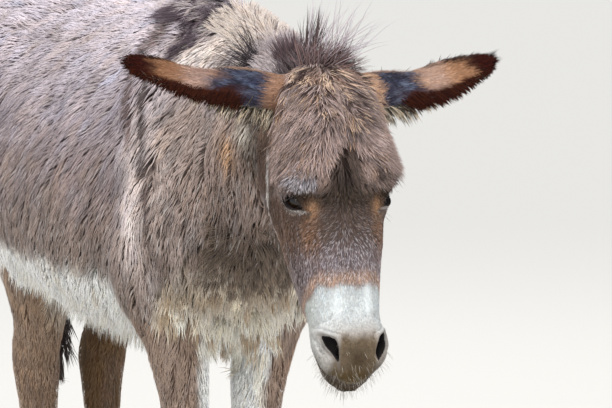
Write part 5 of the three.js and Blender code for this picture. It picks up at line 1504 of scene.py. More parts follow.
STREAK = 4.2  # clumps are this much longer than wide
LIE_AXIS = np.array([[0, 0.62, -0.78], [0, 0.35, -0.94], HEAD_A, EAR_FRAMES[-1][0], EAR_FRAMES[1][0], [0, 0.1, -1], [0, 0.1, -1], [0, 0.1, -1], [0, 0.1, -1], [0, 0.1, -1]], float)


def streak_space(P, part):
    """Space squeezed along the usual lie of each part, so that what is near in it is a long streak."""
    d = unit(LIE_AXIS[part])
    return P - (1 - 1 / STREAK) * (P * d).sum(1)[:, None] * d


def body_coat(total, gen):
    P, N, uv, part = roots_on(density(TC, TPART), total, gen)
    ok = allowed(P, N, part)
    P, N, uv, part = P[ok], N[ok], uv[ok], part[ok]
    n = len(P)
    D = lie(P, N, part)
    L, W, c, pull = params(P, N, part)
    depth = coat_depth(P)
    # clumps: each tuft leans to the middle of its clump, and clumps differ
    seeds = gen.random(n) < np.minimum(1, 1 / (c * c * STREAK * density(P, part) + 1e-9))
    sid = np.nonzero(seeds)[0]
    warp = np.stack([lattice_noise(P, 16, k) for k in (31, 32, 33)], 1) * (c * 0.45)[:, None]
    Z = streak_space(P + warp, part)
    own = sid[nearest(Z, Z[sid])]
    say("clumps", len(sid), "of", n)
    side = np.cross(N, D)
    off = P - P[own]
    lat = (off * side).sum(1)
    away = clamp(np.abs(lat) / c, 0, 1)
    big = lattice_noise(P, 42, 41)
    turn = (gen.normal(0, 0.13, n)[own] + gen.normal(0, 0.11, n) + 0.12 * big).clip(-0.6, 0.6)
    D = D * np.cos(turn)[:, None] + side * np.sin(turn)[:, None]
    L = L * (1 + 0.15 * gen.normal(0, 1, n)[own].clip(-1.6, 1.6)) * gen.uniform(0.72, 1.2, n)
    gather = side * (lat.clip(-1.6 * c, 1.6 * c) * pull)[:, None]
    broad, fine_ = lattice_noise(Z, 26, 45), lattice_noise(Z, 9, 46)
    high = clamp(1 - 0.20 * away**1.5 + 0.11 * gen.normal(0, 1, n)[own] + 0.20 * broad + 0.10 * fine_, 0.25, 1.1)
    jig = gen.normal(0, 1, (n, 3)) * (L * 0.03)[:, None]
    m1 = P + D * (L * 0.48)[:, None] - gather * 0.32 + jig * 0.4
    tip = P + D * L[:, None] - gather + jig
    want1 = -depth * (0.62 - 0.30 * high) - 0.2
    want2 = -depth * (0.66 - 0.52 * high * gen.uniform(0.7, 1.2, n)) - 0.1
    hold = ("mane",)
    most = np.maximum(depth * 1.3, 4)
    dent = carved(P)
    for q, want in ((m1, want1), (tip, want2)):
        f = outline(q, hold)
        q += N * clamp(want - f - dent, -most, most)[:, None]
    C = np.stack([P - N * 1.0, m1, tip], 1)
    S = unit(np.cross(N, tip - P))
    U = unit(np.cross(tip - P, S))
    U *= np.sign((U * N).sum(1))[:, None]
    away_ = np.where(part == HEAD_, 0.35, 1.0)[:, None]
    tipc, rootc = markings(P + (N * depth[:, None] + D * (L * 0.55)[:, None]) * away_, N, part)
    vary = np.where(part <= NECK_, 0.11, 0.12)
    each = np.where(part == HEAD_, 0.31, 0.11)
    each = np.where((part == HEAD_) & (to_head(P)[:, 0] > 316), 0.16, each)
    shade = (1 + vary * gen.normal(0, 1, n)[own].clip(-2, 2)) * (1 + each * gen.normal(0, 1, n).clip(-2, 2))
    # tufts toward the edges of their clump are painted darker, as painted shade in the gaps between clumps; the rest of
    # this factor is tone that differs at random
    shade *= 1.05 - 0.10 * away + 0.09 * lattice_noise(P, 60, 43) + np.where(part <= NECK_, (0.24 + 0.10 * (P[:, 2] < 900)) * broad + 0.17 * fine_, 0)
    warm = 0.03 * gen.normal(0, 1, n)[own]
    tipc = tipc * shade[:, None] * (1 + warm[:, None] * np.array([1, 0, -1.2]))
    # odd pale and dark tips
    r = gen.random(n)
    m = np.nonzero(part == HEAD_)[0]
    a, b, cc = to_head(P[m]).T
    fl = (r[m] < 0.08 + 0.22 * np.exp(-(((a - 272) / 34) ** 2) - ((cc / 46) ** 2)) + 0.08 * step(250, 280, a)) & (a > 172) & (a < 330)
    pale = step(200, 262, a) * 0.46 + 0.09
    tipc[m] = np.where(fl[:, None], tipc[m] + (np.array([0.62, 0.59, 0.62]) - tipc[m]) * pale[:, None], tipc[m])
    dark = (part != HEAD_) & (r > 0.95) & (tipc.mean(1) < 0.6)
    tipc[dark] *= 0.6
    light = (part <= NECK_) & (r < 0.09)
    tipc[light] = tipc[light] * 0.6 + 0.4 * np.array([0.72, 0.68, 0.66])
    mid = rootc + (tipc - rootc) * np.interp(L, [4, 12, 40], [0.75, 0.7, 0.62])[:, None]
    cols = np.stack([rootc * 0.8, mid, tipc], 1)
    groups = [
        ("coat_trunk", (part == TRUNK_), MAT_COAT, "coat"),
        ("coat_neck", (part == NECK_), MAT_COAT, "coat"),
        ("coat_head", (part == HEAD_), MAT_HEAD, "coat"),
        ("coat_ears", np.isin(part, (EAR_R, EAR_L)), MAT_EAR, "ear"),
        ("coat_forelegs", np.isin(part, (FORE_R, FORE_L)), MAT_LEG, "leg"),
        ("coat_hindlegs", np.isin(part, (HIND_R, HIND_L, TAIL_)), MAT_LEG, "leg"),
    ]
    for name, m, mat, slot in groups:
        k = np.nonzero(m)[0]
        k = k[gen.permutation(len(k))] if len(k) > 32000 else k
        locks(name, C[k], W[k][:, None], S[k], U[k], N[k], cols[k], uv[k], mat)
        say(name, len(k))
    return n


body_coat(180000, np.random.default_rng(21))
say("coat triangles", coat_count)

# ------------------------------------------------------------------ long hair: mane, forelock, fringes, belly, breast, tail
OVER = np.array([0.940, -0.342, 0.0])  # the way that reads as sideways when the animal is seen from its front right
RISE = np.array([0.042, 0.115, 0.993])
hair = np.random.default_rng(77)


def body_field(P):
    return outline(P, ("mane",))


def way(u, v, w=0.0):
    """A direction u sideways, v up and w toward a viewer standing before the right shoulder."""
    return unit(u * OVER + v * RISE + w * np.cross(OVER, RISE))


def pick(weight, count):
    return roots_on(weight, count, hair)


def jitter(D, amount):
    return unit(D + hair.normal(0, 1, D.shape) * amount)


def strands(name, root, N, start, L, W, fall, tipc, rootc, uv, material, wave=0.12, lift=0.35, keep_off=True, shape=(0.85, 1.0, 0.72), flat=0.45, soft=0.5, mid=0.6, most=12.0, rings=3):
    """Long locks of two or three rings. Each leaves its root in its own direction, bends down with its weight and stays out of the skin."""
    n = len(root)
    L, W, fall = (np.broadcast_to(np.asarray(v, float), (n,)).copy() for v in (L, W, fall))
    d = unit(start)
    seg = (L / 4)[:, None]
    C = [root - N * 1.2]
    phase = hair.uniform(0, 6.3, n)
    side = unit(np.cross(N, d) + 1e-6)
    depth = coat_depth(root)
    dent = carved(root)
    for k in range(4):
        d = unit(d + np.array([0, 0, -1.0]) * (fall * (0.55 + 0.3 * k))[:, None] + side * (wave * np.sin(phase + 2.1 * k))[:, None])
        q = C[-1] + d * seg
        if keep_off:
            f = body_field(q) + dent
            g = unit(gradient(body_field, q, 2.0))
            want = -depth * (1 - lift * (k + 1) / 2.5) + 0.6
            q = q + g * clamp(want - f, 0, most)[:, None]
        C.append(q)
    C = np.stack(C, 1)
    chord = C[:, 4] - C[:, 0]
    S = unit(np.cross(N, chord))
    U = unit(np.cross(chord, S))
    U *= np.sign((U * N).sum(1) + 1e-9)[:, None]
    tipc = np.broadcast_to(np.asarray(tipc, float), (n, 3))
    rootc = np.broadcast_to(np.asarray(rootc, float), (n, 3))
    cols = np.stack([rootc * 0.8, rootc + (tipc - rootc) * mid * 0.5, rootc + (tipc - rootc) * mid, rootc + (tipc - rootc) * (mid + 1) / 2, tipc], 1)
    if rings == 2:
        C, cols, shape = C[:, [0, 1, 3, 4]], cols[:, [0, 1, 3, 4]], (shape[0] + 0.06, shape[2] + 0.06)
    locks(name, C, W[:, None] * np.array(shape)[None], S, U, N, cols, uv, material, flat, soft)
    say(name, n)


def toned(C, n, each=0.12, warm=0.03):
    """Colours that differ from lock to lock."""
    C = np.broadcast_to(np.asarray(C, float), (n, 3)) * (1 + each * hair.normal(0, 1, n).clip(-2, 2))[:, None]
    return np.maximum(C * (1 + warm * hair.normal(0, 1, (n, 1)) * np.array([1, 0, -1.2])), 0.004)


def grouped(P, size, pull, D):
    """Leans each lock to the middle of its bunch."""
    n = len(P)
    seeds = np.nonzero(hair.random(n) < 1 / size)[0]
    if len(seeds) < 2:
        return D, np.zeros(n, int)
    own = seeds[nearest(P, P[seeds])]
    off = P[own] - P
    return unit(D + off * pull + hair.normal(0, 0.10, (n, 3))[own]), own


TCX, TCY, TCZ = TC.T
TCN = VN[T].mean(1)
TA_, TB_, TCC = to_head(TC).T
on_neck = (TPART == NECK_) | ((TPART == TRUNK_) & (TCY < 60))
on_head = TPART == HEAD_
dark_mane, pale_mane = (0.105, 0.072, 0.088), (0.72, 0.61, 0.53)

# --- mane: falls to the right over the withers, short and pale along the top of the neck, dark again toward the poll
ridge = on_neck * step(0.25, 0.6, TCN[:, 2]) * (np.abs(TCX + 9) < 34) * (1 - step(18, 34, np.abs(TCX + 9)) * 0.6)
P, N, uv, part = pick(ridge * ((TCY > -125) & (TCY < 30)), 620)
D = np.stack([-0.75 - 0.3 * hair.random(len(P)), 0.35 + 0.25 * lattice_noise(P, 30, 51), 0.55 + 0.3 * lattice_noise(P, 22, 52)], 1)
D, own = grouped(P, 14, 0.03, unit(D))
pale = (hair.random(len(P))[own] < 0.30)
tc = np.where(pale[:, None], toned((0.50, 0.42, 0.42), len(P)), toned(dark_mane, len(P), 0.25))
strands("mane_withers", P, N, jitter(D, 0.07), hair.uniform(34, 62, len(P)), hair.uniform(0.8, 1.3, len(P)), 0.42, tc, tc * 0.6, uv, MAT_MANE, wave=0.10, lift=0.95, most=18)
P, N, uv, part = pick(ridge * ((TCY > -345) & (TCY <= -120)), 1700)
D = np.stack([-0.15 - 0.45 * (P[:, 0] < -6) + 0.5 * (P[:, 0] > 2), 0.55 + 0.35 * lattice_noise(P, 26, 53), 0.62 + 0 * P[:, 0]], 1)
D, own = grouped(P, 9, 0.03, unit(D))
dk = hair.random(len(P)) < 0.10
tc = np.where(dk[:, None], toned((0.20, 0.15, 0.15), len(P)), toned(pale_mane, len(P), 0.10))
tc = tc + (tc * np.array([0.66, 0.66, 0.74]) - tc) * (1 - step(-312, -270, P[:, 1]))[:, None]
strands("mane_crest", P, N, jitter(D, 0.10), hair.uniform(18, 33, len(P)), hair.uniform(0.6, 0.95, len(P)), 0.10, tc, tc * 0.74, uv, MAT_COAT, wave=0.08, lift=1.1, rings=2)
P, N, uv, part = pick(ridge * ((TCY > -480) & (TCY <= -320)), 700)
D = np.stack([-0.35 + 0.3 * lattice_noise(P, 18, 54), -0.05 + 0.3 * lattice_noise(P, 18, 55), 1.0 + 0 * P[:, 0]], 1)
D, own = grouped(P, 12, 0.04, unit(D))
tc = toned((0.17, 0.12, 0.125), len(P), 0.3)
tc = tc + (np.array([0.46, 0.39, 0.40]) - tc) * step(-392, -360, P[:, 1])[:, None] * 0.8
strands("mane_poll", P, N, jitter(D, 0.08), hair.uniform(30, 46, len(P)), hair.uniform(0.7, 1.1, len(P)), 0.10, tc, tc * 0.7, uv, MAT_MANE, wave=0.10, lift=1.2, rings=2)
# dark bunches that lie on the right side of the neck
for k, (at, r, d0, count, ln) in enumerate((((-44, 4, 1118), (18, 34, 14), (-0.85, 0.30, -0.30), 300, 50), ((-52, -56, 1098), (12, 13, 14), (-0.75, -0.30, -0.55), 110, 36),
                                            ((-60, -92, 1080), (9, 24, 9), (-0.70, 0.55, -0.45), 120, 34), ((-80, -66, 1062), (8, 12, 10), (-0.55, 0.30, -0.75), 80, 30))):
    w = on_neck * spot(TC + TCN * 15, at, np.array(r) * 1.1)
    P, N, uv, part = pick(w * (w > 0.1), count)
    D, own = grouped(P, 16, 0.035, tangent(np.tile(d0, (len(P), 1)), N) + N * 0.30)
    tc = toned(dark_mane, len(P), 0.3)
    strands(f"mane_fallen_{k + 1}", P, N, jitter(D, 0.10), ln * hair.uniform(0.7, 1.15, len(P)), hair.uniform(0.7, 1.15, len(P)), 0.16, tc, tc * 0.7, uv, MAT_MANE, wave=0.12, lift=0.85)

# --- burst of thin dark hair behind the right ear, fanning back over the neck
w = on_neck * spot(TC, (-40, -312, 1046), (11, 14, 11))
P, N, uv, part = pick(w * (w > 0.15), 84)
ang = np.radians(hair.uniform(84, 186, len(P)))
D = np.cos(ang)[:, None] * OVER + np.sin(ang)[:, None] * RISE + N * 0.55
tc = toned((0.030, 0.019, 0.024), len(P), 0.3)
strands("burst_long", P, N, D, hair.uniform(50, 88, len(P)), hair.uniform(0.36, 0.6, len(P)), 0.03, tc, tc, uv, MAT_MANE, wave=0.05, lift=2.0, flat=0.7, most=16)
P, N, uv, part = pick(w * (w > 0.25), 190)
ang = np.radians(hair.normal(0, 1, len(P)) * 40 + 150)
D = np.cos(ang)[:, None] * OVER + np.sin(ang)[:, None] * RISE + N * 0.7
tc = toned((0.026, 0.016, 0.021), len(P), 0.3)
strands("burst_short", P, N, D, hair.uniform(16, 32, len(P)), hair.uniform(0.45, 0.8, len(P)), 0.10, tc, tc, uv, MAT_MANE, wave=0.08, lift=1.2, rings=2)
# purple-grey hair on the near side of the poll, right of the burst
w = on_neck * spot(TC, (-34, -400, 1060), (22, 36, 24))
P, N, uv, part = pick(w * (w > 0.1), 760)
ang = np.radians(hair.normal(0, 1, len(P)) * 26 + 128)
D = np.cos(ang)[:, None] * OVER + np.sin(ang)[:, None] * RISE + N * 0.55
tc = toned((0.52, 0.44, 0.44), len(P), 0.30)
strands("poll_side", P, N, D, hair.uniform(24, 44, len(P)), hair.uniform(0.6, 0.9, len(P)), 0.12, tc, tc * 0.45, uv, MAT_COAT, wave=0.10, lift=1.0, rings=2)

# --- standing tuft at the poll
top = (on_neck | on_head) * step(0.2, 0.5, TCN[:, 2])
w = top * spot(TC, (-20, -414, 1070), (11, 11, 30))
P, N, uv, part = pick(w * (w > 0.10), 340)
D = np.tile(way(-0.30, 1.0), (len(P), 1)) + (hair.normal(0, 1, (len(P), 1)) * 0.13) * OVER
D, own = grouped(P, 22, 0.025, unit(D))
tc = toned((0.105, 0.062, 0.068), len(P), 0.25)
strands("tuft_dark", P, N, jitter(D, 0.06), hair.uniform(40, 72, len(P)), hair.uniform(0.75, 1.15, len(P)), 0.02, tc, tc * 0.6, uv, MAT_MANE, wave=0.07, lift=1.3)
w = top * spot(TC, (-18, -452, 1068), (12, 12, 30))
P, N, uv, part = pick(w * (w > 0.08), 80)
D = np.tile(way(0.26, 1.0), (len(P), 1)) + (hair.normal(0, 1, (len(P), 1)) * 0.11) * OVER
D, own = grouped(P, 14, 0.02, unit(D))
tc = toned((0.075, 0.045, 0.045), len(P), 0.3)
strands("tuft_tall", P, N, jitter(D, 0.05), hair.uniform(58, 100, len(P)), hair.uniform(0.5, 0.85, len(P)), 0.015, tc, tc * 0.7, uv, MAT_MANE, wave=0.05, lift=1.3, flat=0.7)
w = top * spot(TC, (2, -468, 1062), (26, 18, 30))
P, N, uv, part = pick(w * (w > 0.08), 90)
ang = np.radians(hair.uniform(28, 92, len(P)))
D = np.cos(ang)[:, None] * OVER + np.sin(ang)[:, None] * RISE
tc = toned((0.46, 0.38, 0.41), len(P), 0.25)
strands("tuft_wisps", P, N, D, hair.uniform(70, 125, len(P)), hair.uniform(0.34, 0.5, len(P)), 0.10, tc, tc * 0.5, uv, MAT_MANE, wave=0.05, lift=1.3, flat=0.8)
w = top * spot(TC, (8, -470, 1062), (28, 16, 30))
P, N, uv, part = pick(w * (w > 0.12), 620)
ang = np.radians(hair.normal(0, 1, len(P)) * 20 + np.interp(P[:, 0], [-20, 0, 40], [84, 52, 30]))
D = np.cos(ang)[:, None] * OVER + np.sin(ang)[:, None] * RISE
D, own = grouped(P, 10, 0.02, unit(D))
tc = toned((0.15, 0.088, 0.082), len(P), 0.32)
strands("tuft_fuzz", P, N, jitter(D, 0.12), hair.uniform(22, 50, len(P)), hair.uniform(0.55, 0.85, len(P)), 0.05, tc, tc * 0.5, uv, MAT_MANE, wave=0.12, lift=1.3, rings=2)

# --- messy hair between the ears
w = on_head * (1 - step(48, 92, TA_)) * step(-78, -30, TB_) * (np.abs(TCC) < 74) * (TA_ > -14)
P, N, uv, part = pick(w, 1500)
a, b, c = to_head(P).T
D = 0.75 * HEAD_A + (np.sign(c) * 0.4)[:, None] * HEAD_C + N * 0.55
D = D + 0.55 * np.stack([lattice_noise(P, 16, q) for q in (61, 62, 63)], 1)
D, own = grouped(P, 12, 0.05, unit(D))
r = hair.random(len(P))[own]
tc = np.where((r < 0.30)[:, None], (0.085, 0.052, 0.045), np.where((r < 0.60)[:, None], (0.34, 0.225, 0.18), (0.74, 0.53, 0.39)))
strands("between_ears", P, N, jitter(D, 0.12), hair.uniform(20, 38, len(P)), hair.uniform(0.6, 1.0, len(P)), 0.14, toned(tc, len(P)), toned(tc, len(P)) * 0.5, uv, MAT_HEAD, wave=0.16, lift=1.0, rings=2)

# --- forelock: two thick lobes that part over the forehead and hang over the brows
w = on_head * step(2, 30, TA_) * (1 - step(118, 142, TA_)) * step(-66, -40, TB_)
cleft = 5 + 0.42 * clamp(TA_ - 92, 0, 60)
w = w * (1 - (1 - step(0, 8, np.abs(TCC - 3) - cleft)) * step(84, 100, TA_))
P, N, uv, part = pick(w, 4300)
a, b, c = to_head(P).T
c = c - 2
s = np.abs(c)
out_w = 0.95 * step(2, 34, s) * (1 - 0.55 * step(30, 80, s)) * (1 - 0.4 * step(60, 130, a)) + 0.08
D = HEAD_A * 0.85 + (np.sign(c) * out_w)[:, None] * HEAD_C + N * 0.42 + 0.34 * np.stack([lattice_noise(P, 22, q) for q in (64, 65, 66)], 1) + 0.36 * np.stack([lattice_noise(P, 9, q) for q in (164, 165, 166)], 1)
D, own = grouped(P, 8, 0.035, unit(D))
reach = 126 + 46 * step(6, 44, s) - a
L = np.clip(hair.uniform(34, 58, len(P)), 10, np.maximum(reach, 12))
tone = clamp(1 + 0.30 * hair.normal(0, 1, len(P))[own].clip(-1.6, 1.9) + 0.38 * lattice_noise(P, 12, 167) + 0.2 * lattice_noise(P, 30, 168), 0.3, 2)
tc = toned((0.385, 0.286, 0.258), len(P), 0.20) * (tone * (1 + 0.10 * step(14, 40, -c)))[:, None]
hot = (hair.random(len(P))[own] < 0.10)
tc = np.where(hot[:, None], toned((0.50, 0.33, 0.23), len(P)), tc)
strands("forelock", P, N, jitter(D, 0.17), L * 0.86, hair.uniform(0.5, 0.85, len(P)), 0.26, tc, tc * 0.34, uv, MAT_HEAD, wave=0.34, lift=1.15, most=14)
# the left lobe stands out past the brow
w = on_head * step(60, 90, TA_) * (1 - step(128, 146, TA_)) * step(36, 56, TCC) * step(-80, -50, TB_)
P, N, uv, part = pick(w, 800)
D = HEAD_A * 0.8 + HEAD_C * 0.5 + N * 0.5 + 0.45 * np.stack([lattice_noise(P, 12, q) for q in (67, 68, 69)], 1)
D, own = grouped(P, 8, 0.035, unit(D))
tone = 1 + 0.22 * hair.normal(0, 1, len(P))[own].clip(-1.6, 1.8)
tc = toned((0.378, 0.276, 0.245), len(P), 0.12) * tone[:, None]
strands("forelock_left", P, N, jitter(D, 0.16), hair.uniform(26, 46, len(P)), hair.uniform(0.55, 0.9, len(P)), 0.42, tc, tc * 0.4, uv, MAT_HEAD, wave=0.26, lift=1.35, most=18)
# hair low on the brow over each eye, pale over the right
for e, name in ((-1, "brow_right"), (1, "brow_left")):
    w = on_head * np.exp(-(((TA_ - 157) / 9) ** 2) - (((TCC * e - 63) / 12) ** 2)) * step(-50, -20, TB_)
    P, N, uv, part = pick(w * (w > 0.05), 300)
    D = HEAD_A * 0.7 + HEAD_C * e * 0.35 + N * 0.45
    tc = toned((0.55, 0.50, 0.52) if e < 0 else (0.30, 0.22, 0.19), len(P), 0.5)
    tc = np.where((hair.random(len(P)) < 0.4)[:, None], tc * 0.5, tc)
    strands(name, P, N, jitter(D, 0.20), hair.uniform(10, 17, len(P)), hair.uniform(0.45, 0.7, len(P)), 0.2, tc, tc * 0.5, uv, MAT_HEAD, wave=0.1, lift=1.1, rings=2)

# --- white hair hanging under the belly
w = (TPART == TRUNK_) * (1 - step(632, 690, TCZ)) * step(10, 110, TCY) * (1 - step(560, 660, TCY)) * (1 - 0.75 * step(0.3, 0.8, -TCN[:, 2]))
P, N, uv, part = pick(w, 4000)
D = np.stack([0.10 * np.sign(P[:, 0]), 0.12 + 0.22 * lattice_noise(P, 60, 71), -0.9 + 0 * P[:, 0]], 1) + N * 0.12
D, own = grouped(P, 12, 0.012, unit(D))
tc = toned((0.95, 0.93, 0.86), len(P), 0.06)
tc = np.where((hair.random(len(P))[own] < 0.08)[:, None], toned((0.66, 0.58, 0.48), len(P)), tc)
strands("belly_fringe", P, N, jitter(D, 0.09), hair.uniform(26, 52, len(P)) , hair.uniform(0.6, 1.0, len(P)), 0.16, tc, tc * 0.92, uv, MAT_COAT, wave=0.10, lift=0.55, soft=0.7, rings=2)

# --- cream curls on the foot of the breast and inside the forelegs
w = ((TPART == TRUNK_) | (TPART == FORE_R) | (TPART == FORE_L)) * (1 - step(672, 715, TCZ)) * step(470, 560, TCZ) * (1 - step(-20, 50, TCY))
w = w * (np.abs(TCX) < 128) * (step(0.0, 0.4, -TCN[:, 1]) + 0.7 * (np.abs(TCX) < 70))
w = w * (1 - 0.6 * (TPART == FORE_L) * (TCZ < 560)) * (1 - (TPART == FORE_R) * (TCZ < 590)) * (1 - (TPART == FORE_R) * step(60, 84, -TCX)) * (1 - (TPART == FORE_L) * step(66, 88, TCX))
P, N, uv, part = pick(w, 2400)
D = np.stack([0.18 * np.sin(P[:, 0] / 19 + P[:, 2] / 27), -0.15 + 0 * P[:, 0], -1 + 0 * P[:, 0]], 1) + N * 0.25
D, own = grouped(P, 20, 0.03, unit(D))
tan_ = step(640, 700, P[:, 2])[:, None]
tc = toned((0.95, 0.89, 0.77), len(P), 0.08) * (1 + 0.10 * hair.normal(0, 1, len(P))[own].clip(-1.5, 1.5))[:, None]
tc = tc + (np.array([0.40, 0.30, 0.21]) - tc) * tan_ * 0.85
tc = np.where((hair.random(len(P))[own] < 0.26)[:, None], toned((0.50, 0.38, 0.26), len(P)), tc)
strands("breast_curls", P, N, jitter(D, 0.05), hair.uniform(30, 50, len(P)), hair.uniform(0.55, 0.9, len(P)), 0.10, tc, tc * 0.85, uv, MAT_COAT, wave=0.24, lift=0.5, soft=0.65)
w = (TPART == TRUNK_) * (1 - step(655, 690, TCZ)) * (np.abs(TCX + 6) < 26) * (1 - step(-60, -10, TCY)) * (TCY > -190)
P, N, uv, part = pick(w, 90)
D = np.stack([0.12 * lattice_noise(P, 12, 72), -0.25 + 0 * P[:, 0], -1 + 0 * P[:, 0]], 1) + N * 0.3
D, own = grouped(P, 26, 0.06, unit(D))
tc = toned((0.84, 0.78, 0.62), len(P), 0.08)
strands("breast_ropes", P, N, D, hair.uniform(56, 86, len(P)), hair.uniform(0.8, 1.2, len(P)), 0.12, tc, tc * 0.6, uv, MAT_COAT, wave=0.26, lift=0.8)
# ruffled dark hair on the breast, turning round a whorl
w = (TPART != HEAD_) * np.exp(-(((TCZ - 738) / 44) ** 2)) * (1 - step(-190, -130, TCY)) * step(0.1, 0.5, -TCN[:, 1]) * (1 - step(56, 92, np.abs(TCX)))
P, N, uv, part = pick(w * (w > 0.08), 1500)
dx, dz = P[:, 0] + 34, P[:, 2] - 775
r = np.hypot(dx, dz) + 1
D = np.stack([dx / r + 0.8 * dz / r + 0.3 * lattice_noise(P, 26, 74), -0.1 + 0 * dx, dz / r - 0.8 * dx / r - 0.55 * step(30, 90, r)], 1) + N * 0.35
D, own = grouped(P, 10, 0.035, unit(D))
tone = 1 + 0.3 * hair.normal(0, 1, len(P))[own].clip(-1.4, 2)
tc = toned((0.185, 0.14, 0.105), len(P), 0.14) * tone[:, None]
strands("breast_ruffle", P, N, jitter(D, 0.10), hair.uniform(24, 40, len(P)), hair.uniform(0.65, 1.0, len(P)), 0.14, tc, tc * 0.5, uv, MAT_COAT, wave=0.16, lift=1.0, rings=2)

# --- ears: cream fringe inside, dark row along the lower edge, dark tip
for e, k, name in ((-1, EAR_R, "right"), (1, EAR_L, "left")):
    fwd, back, across, base = EAR_FRAMES[e]
    low = across * -np.sign(across[2])
    t, q, c = to_ear(TC, e)
    half = EAR_HALF(clamp(t, -40, 245))
    edge = (c * -np.sign(across[2])) / half  # 1 at the lower edge
    on = TPART == k
    w = on * ((TCN @ back) < 0.1) * step(-5, 20, t) * (1 - step(90, 190, t)) * step(-0.8, 0.5, edge)
    P, N, uv, part = pick(w, 760)
    D = fwd * 0.55 + low * 0.75 + N * 0.35
    D, own = grouped(P, 9, 0.05, unit(D))
    tc = toned((0.73, 0.61, 0.46), len(P), 0.14)
    strands(f"ear_{name}_fringe", P, N, jitter(D, 0.10), hair.uniform(22, 42, len(P)) * (1 - 0.55 * step(50, 150, to_ear(P, e)[0])), hair.uniform(0.5, 0.8, len(P)), 0.16, tc, tc * 0.55, uv, MAT_EAR, wave=0.12, lift=1.2, rings=2)
    w = on * ((TCN @ back) > -0.5) * step(0.55, 0.85, edge) * step(55, 95, t)
    P, N, uv, part = pick(w, 1000)
    D = fwd * 0.62 + low * 0.9 + N * 0.15
    tc = toned((0.036, 0.009, 0.004), len(P), 0.3)
    strands(f"ear_{name}_edge", P, N, jitter(D, 0.10), hair.uniform(12, 22, len(P)) * (1 - 0.4 * step(150, 210, to_ear(P, e)[0])), hair.uniform(0.5, 0.75, len(P)), 0.10, tc, tc, uv, MAT_EAR, wave=0.08, lift=0.9, rings=2)
    w = on * step(205, 228, t)
    P, N, uv, part = pick(w, 420)
    D = fwd * 1.0 + N * 0.35
    tc = toned((0.034, 0.006, 0.003), len(P), 0.35)
    strands(f"ear_{name}_tip", P, N, jitter(D, 0.14), hair.uniform(9, 16, len(P)), hair.uniform(0.45, 0.7, len(P)), 0.04, tc, tc, uv, MAT_EAR, wave=0.10, lift=1.1, rings=2)
    w = on * (edge < -0.4) * step(0.0, 0.3, TCN @ back) * step(20, 60, t)
    P, N, uv, part = pick(w, 300)
    D = fwd * 1.0 - low * 0.1 + N * 0.2
    tt = to_ear(P, e)[0]
    tc = np.where((tt > 165)[:, None], toned((0.055, 0.028, 0.022), len(P), 0.3), toned((0.34, 0.22, 0.17), len(P), 0.3))
    strands(f"ear_{name}_upper", P, N, jitter(D, 0.12), hair.uniform(8, 14, len(P)), hair.uniform(0.4, 0.6, len(P)), 0.03, tc, tc * 0.6, uv, MAT_EAR, wave=0.08, lift=0.9, rings=2)
    # soft cream hair hanging at the ear's root
    w = (on | on_head | on_neck) * ((TCN @ back) < -0.15) * step(-26, -6, t) * (1 - step(36, 60, t)) * (np.abs(c) < 44) * (np.abs(q) < 46)
    P, N, uv, part = pick(w, 220)
    D = fwd * 0.35 + low * 0.9 + N * 0.4
    tc = toned((0.90, 0.82, 0.68), len(P), 0.12)
    strands(f"ear_{name}_root", P, N, jitter(D, 0.14), hair.uniform(20, 34, len(P)), hair.uniform(0.55, 0.85, len(P)), 0.2, tc, tc * 0.5, uv, MAT_EAR, wave=0.15, lift=1.2, rings=2)

# --- tail: short hair on the dock, long dark switch
w = (TPART == TAIL_) * step(560, 720, TCZ) * 0.5 + (TPART == TAIL_) * (1 - step(640, 740, TCZ))
P, N, uv, part = pick(w, 1500)
dock = P[:, 2] > 690
D = np.stack([0.10 * lattice_noise(P, 30, 81), 0.22 - 0.1 * step(400, 600, P[:, 2]), -1 + 0 * P[:, 0]], 1) + N * np.where(dock, 0.15, 0.22)[:, None]
D, own = grouped(P, 15, 0.03, unit(D))
tc = np.where(dock[:, None], toned((0.19, 0.14, 0.12), len(P), 0.2), toned((0.070, 0.048, 0.042), len(P), 0.35))
L = np.where(dock, hair.uniform(34, 50, len(P)), hair.uniform(60, 96, len(P)))
L = np.minimum(L, np.maximum(P[:, 2] - 372, 24))
strands("tail_hair", P, N, jitter(D, 0.05), L, hair.uniform(0.8, 1.35, len(P)), 0.12, tc, tc * 0.7, uv, MAT_MANE, wave=0.14, lift=1.1)

# --- a little feather behind each fetlock and over each hoof
leg = (TPART >= FORE_R) & (TPART <= HIND_L)
w = leg * step(0.0, 0.5, TCN[:, 1]) * step(66, 90, TCZ) * (1 - step(150, 190, TCZ)) + 0.35 * leg * (TCZ > 44) * (1 - step(58, 74, TCZ))
P, N, uv, part = pick(w, 1100)
D = np.stack([0.1 * lattice_noise(P, 9, 82), 0.45 + 0 * P[:, 0], -1 + 0 * P[:, 0]], 1) + N * 0.3
low_ = P[:, 2] < 74
D[low_] = np.array([0, 0, -1.0]) + N[low_] * 0.55
tc = toned((0.15, 0.11, 0.085), len(P), 0.25)
strands("feather", P, N, jitter(unit(D), 0.12), np.where(low_, hair.uniform(10, 16, len(P)), hair.uniform(16, 30, len(P))), hair.uniform(0.5, 0.8, len(P)), 0.10, tc, tc * 0.6, uv, MAT_LEG, wave=0.10, lift=1.1, rings=2)
say("coat triangles", coat_count)

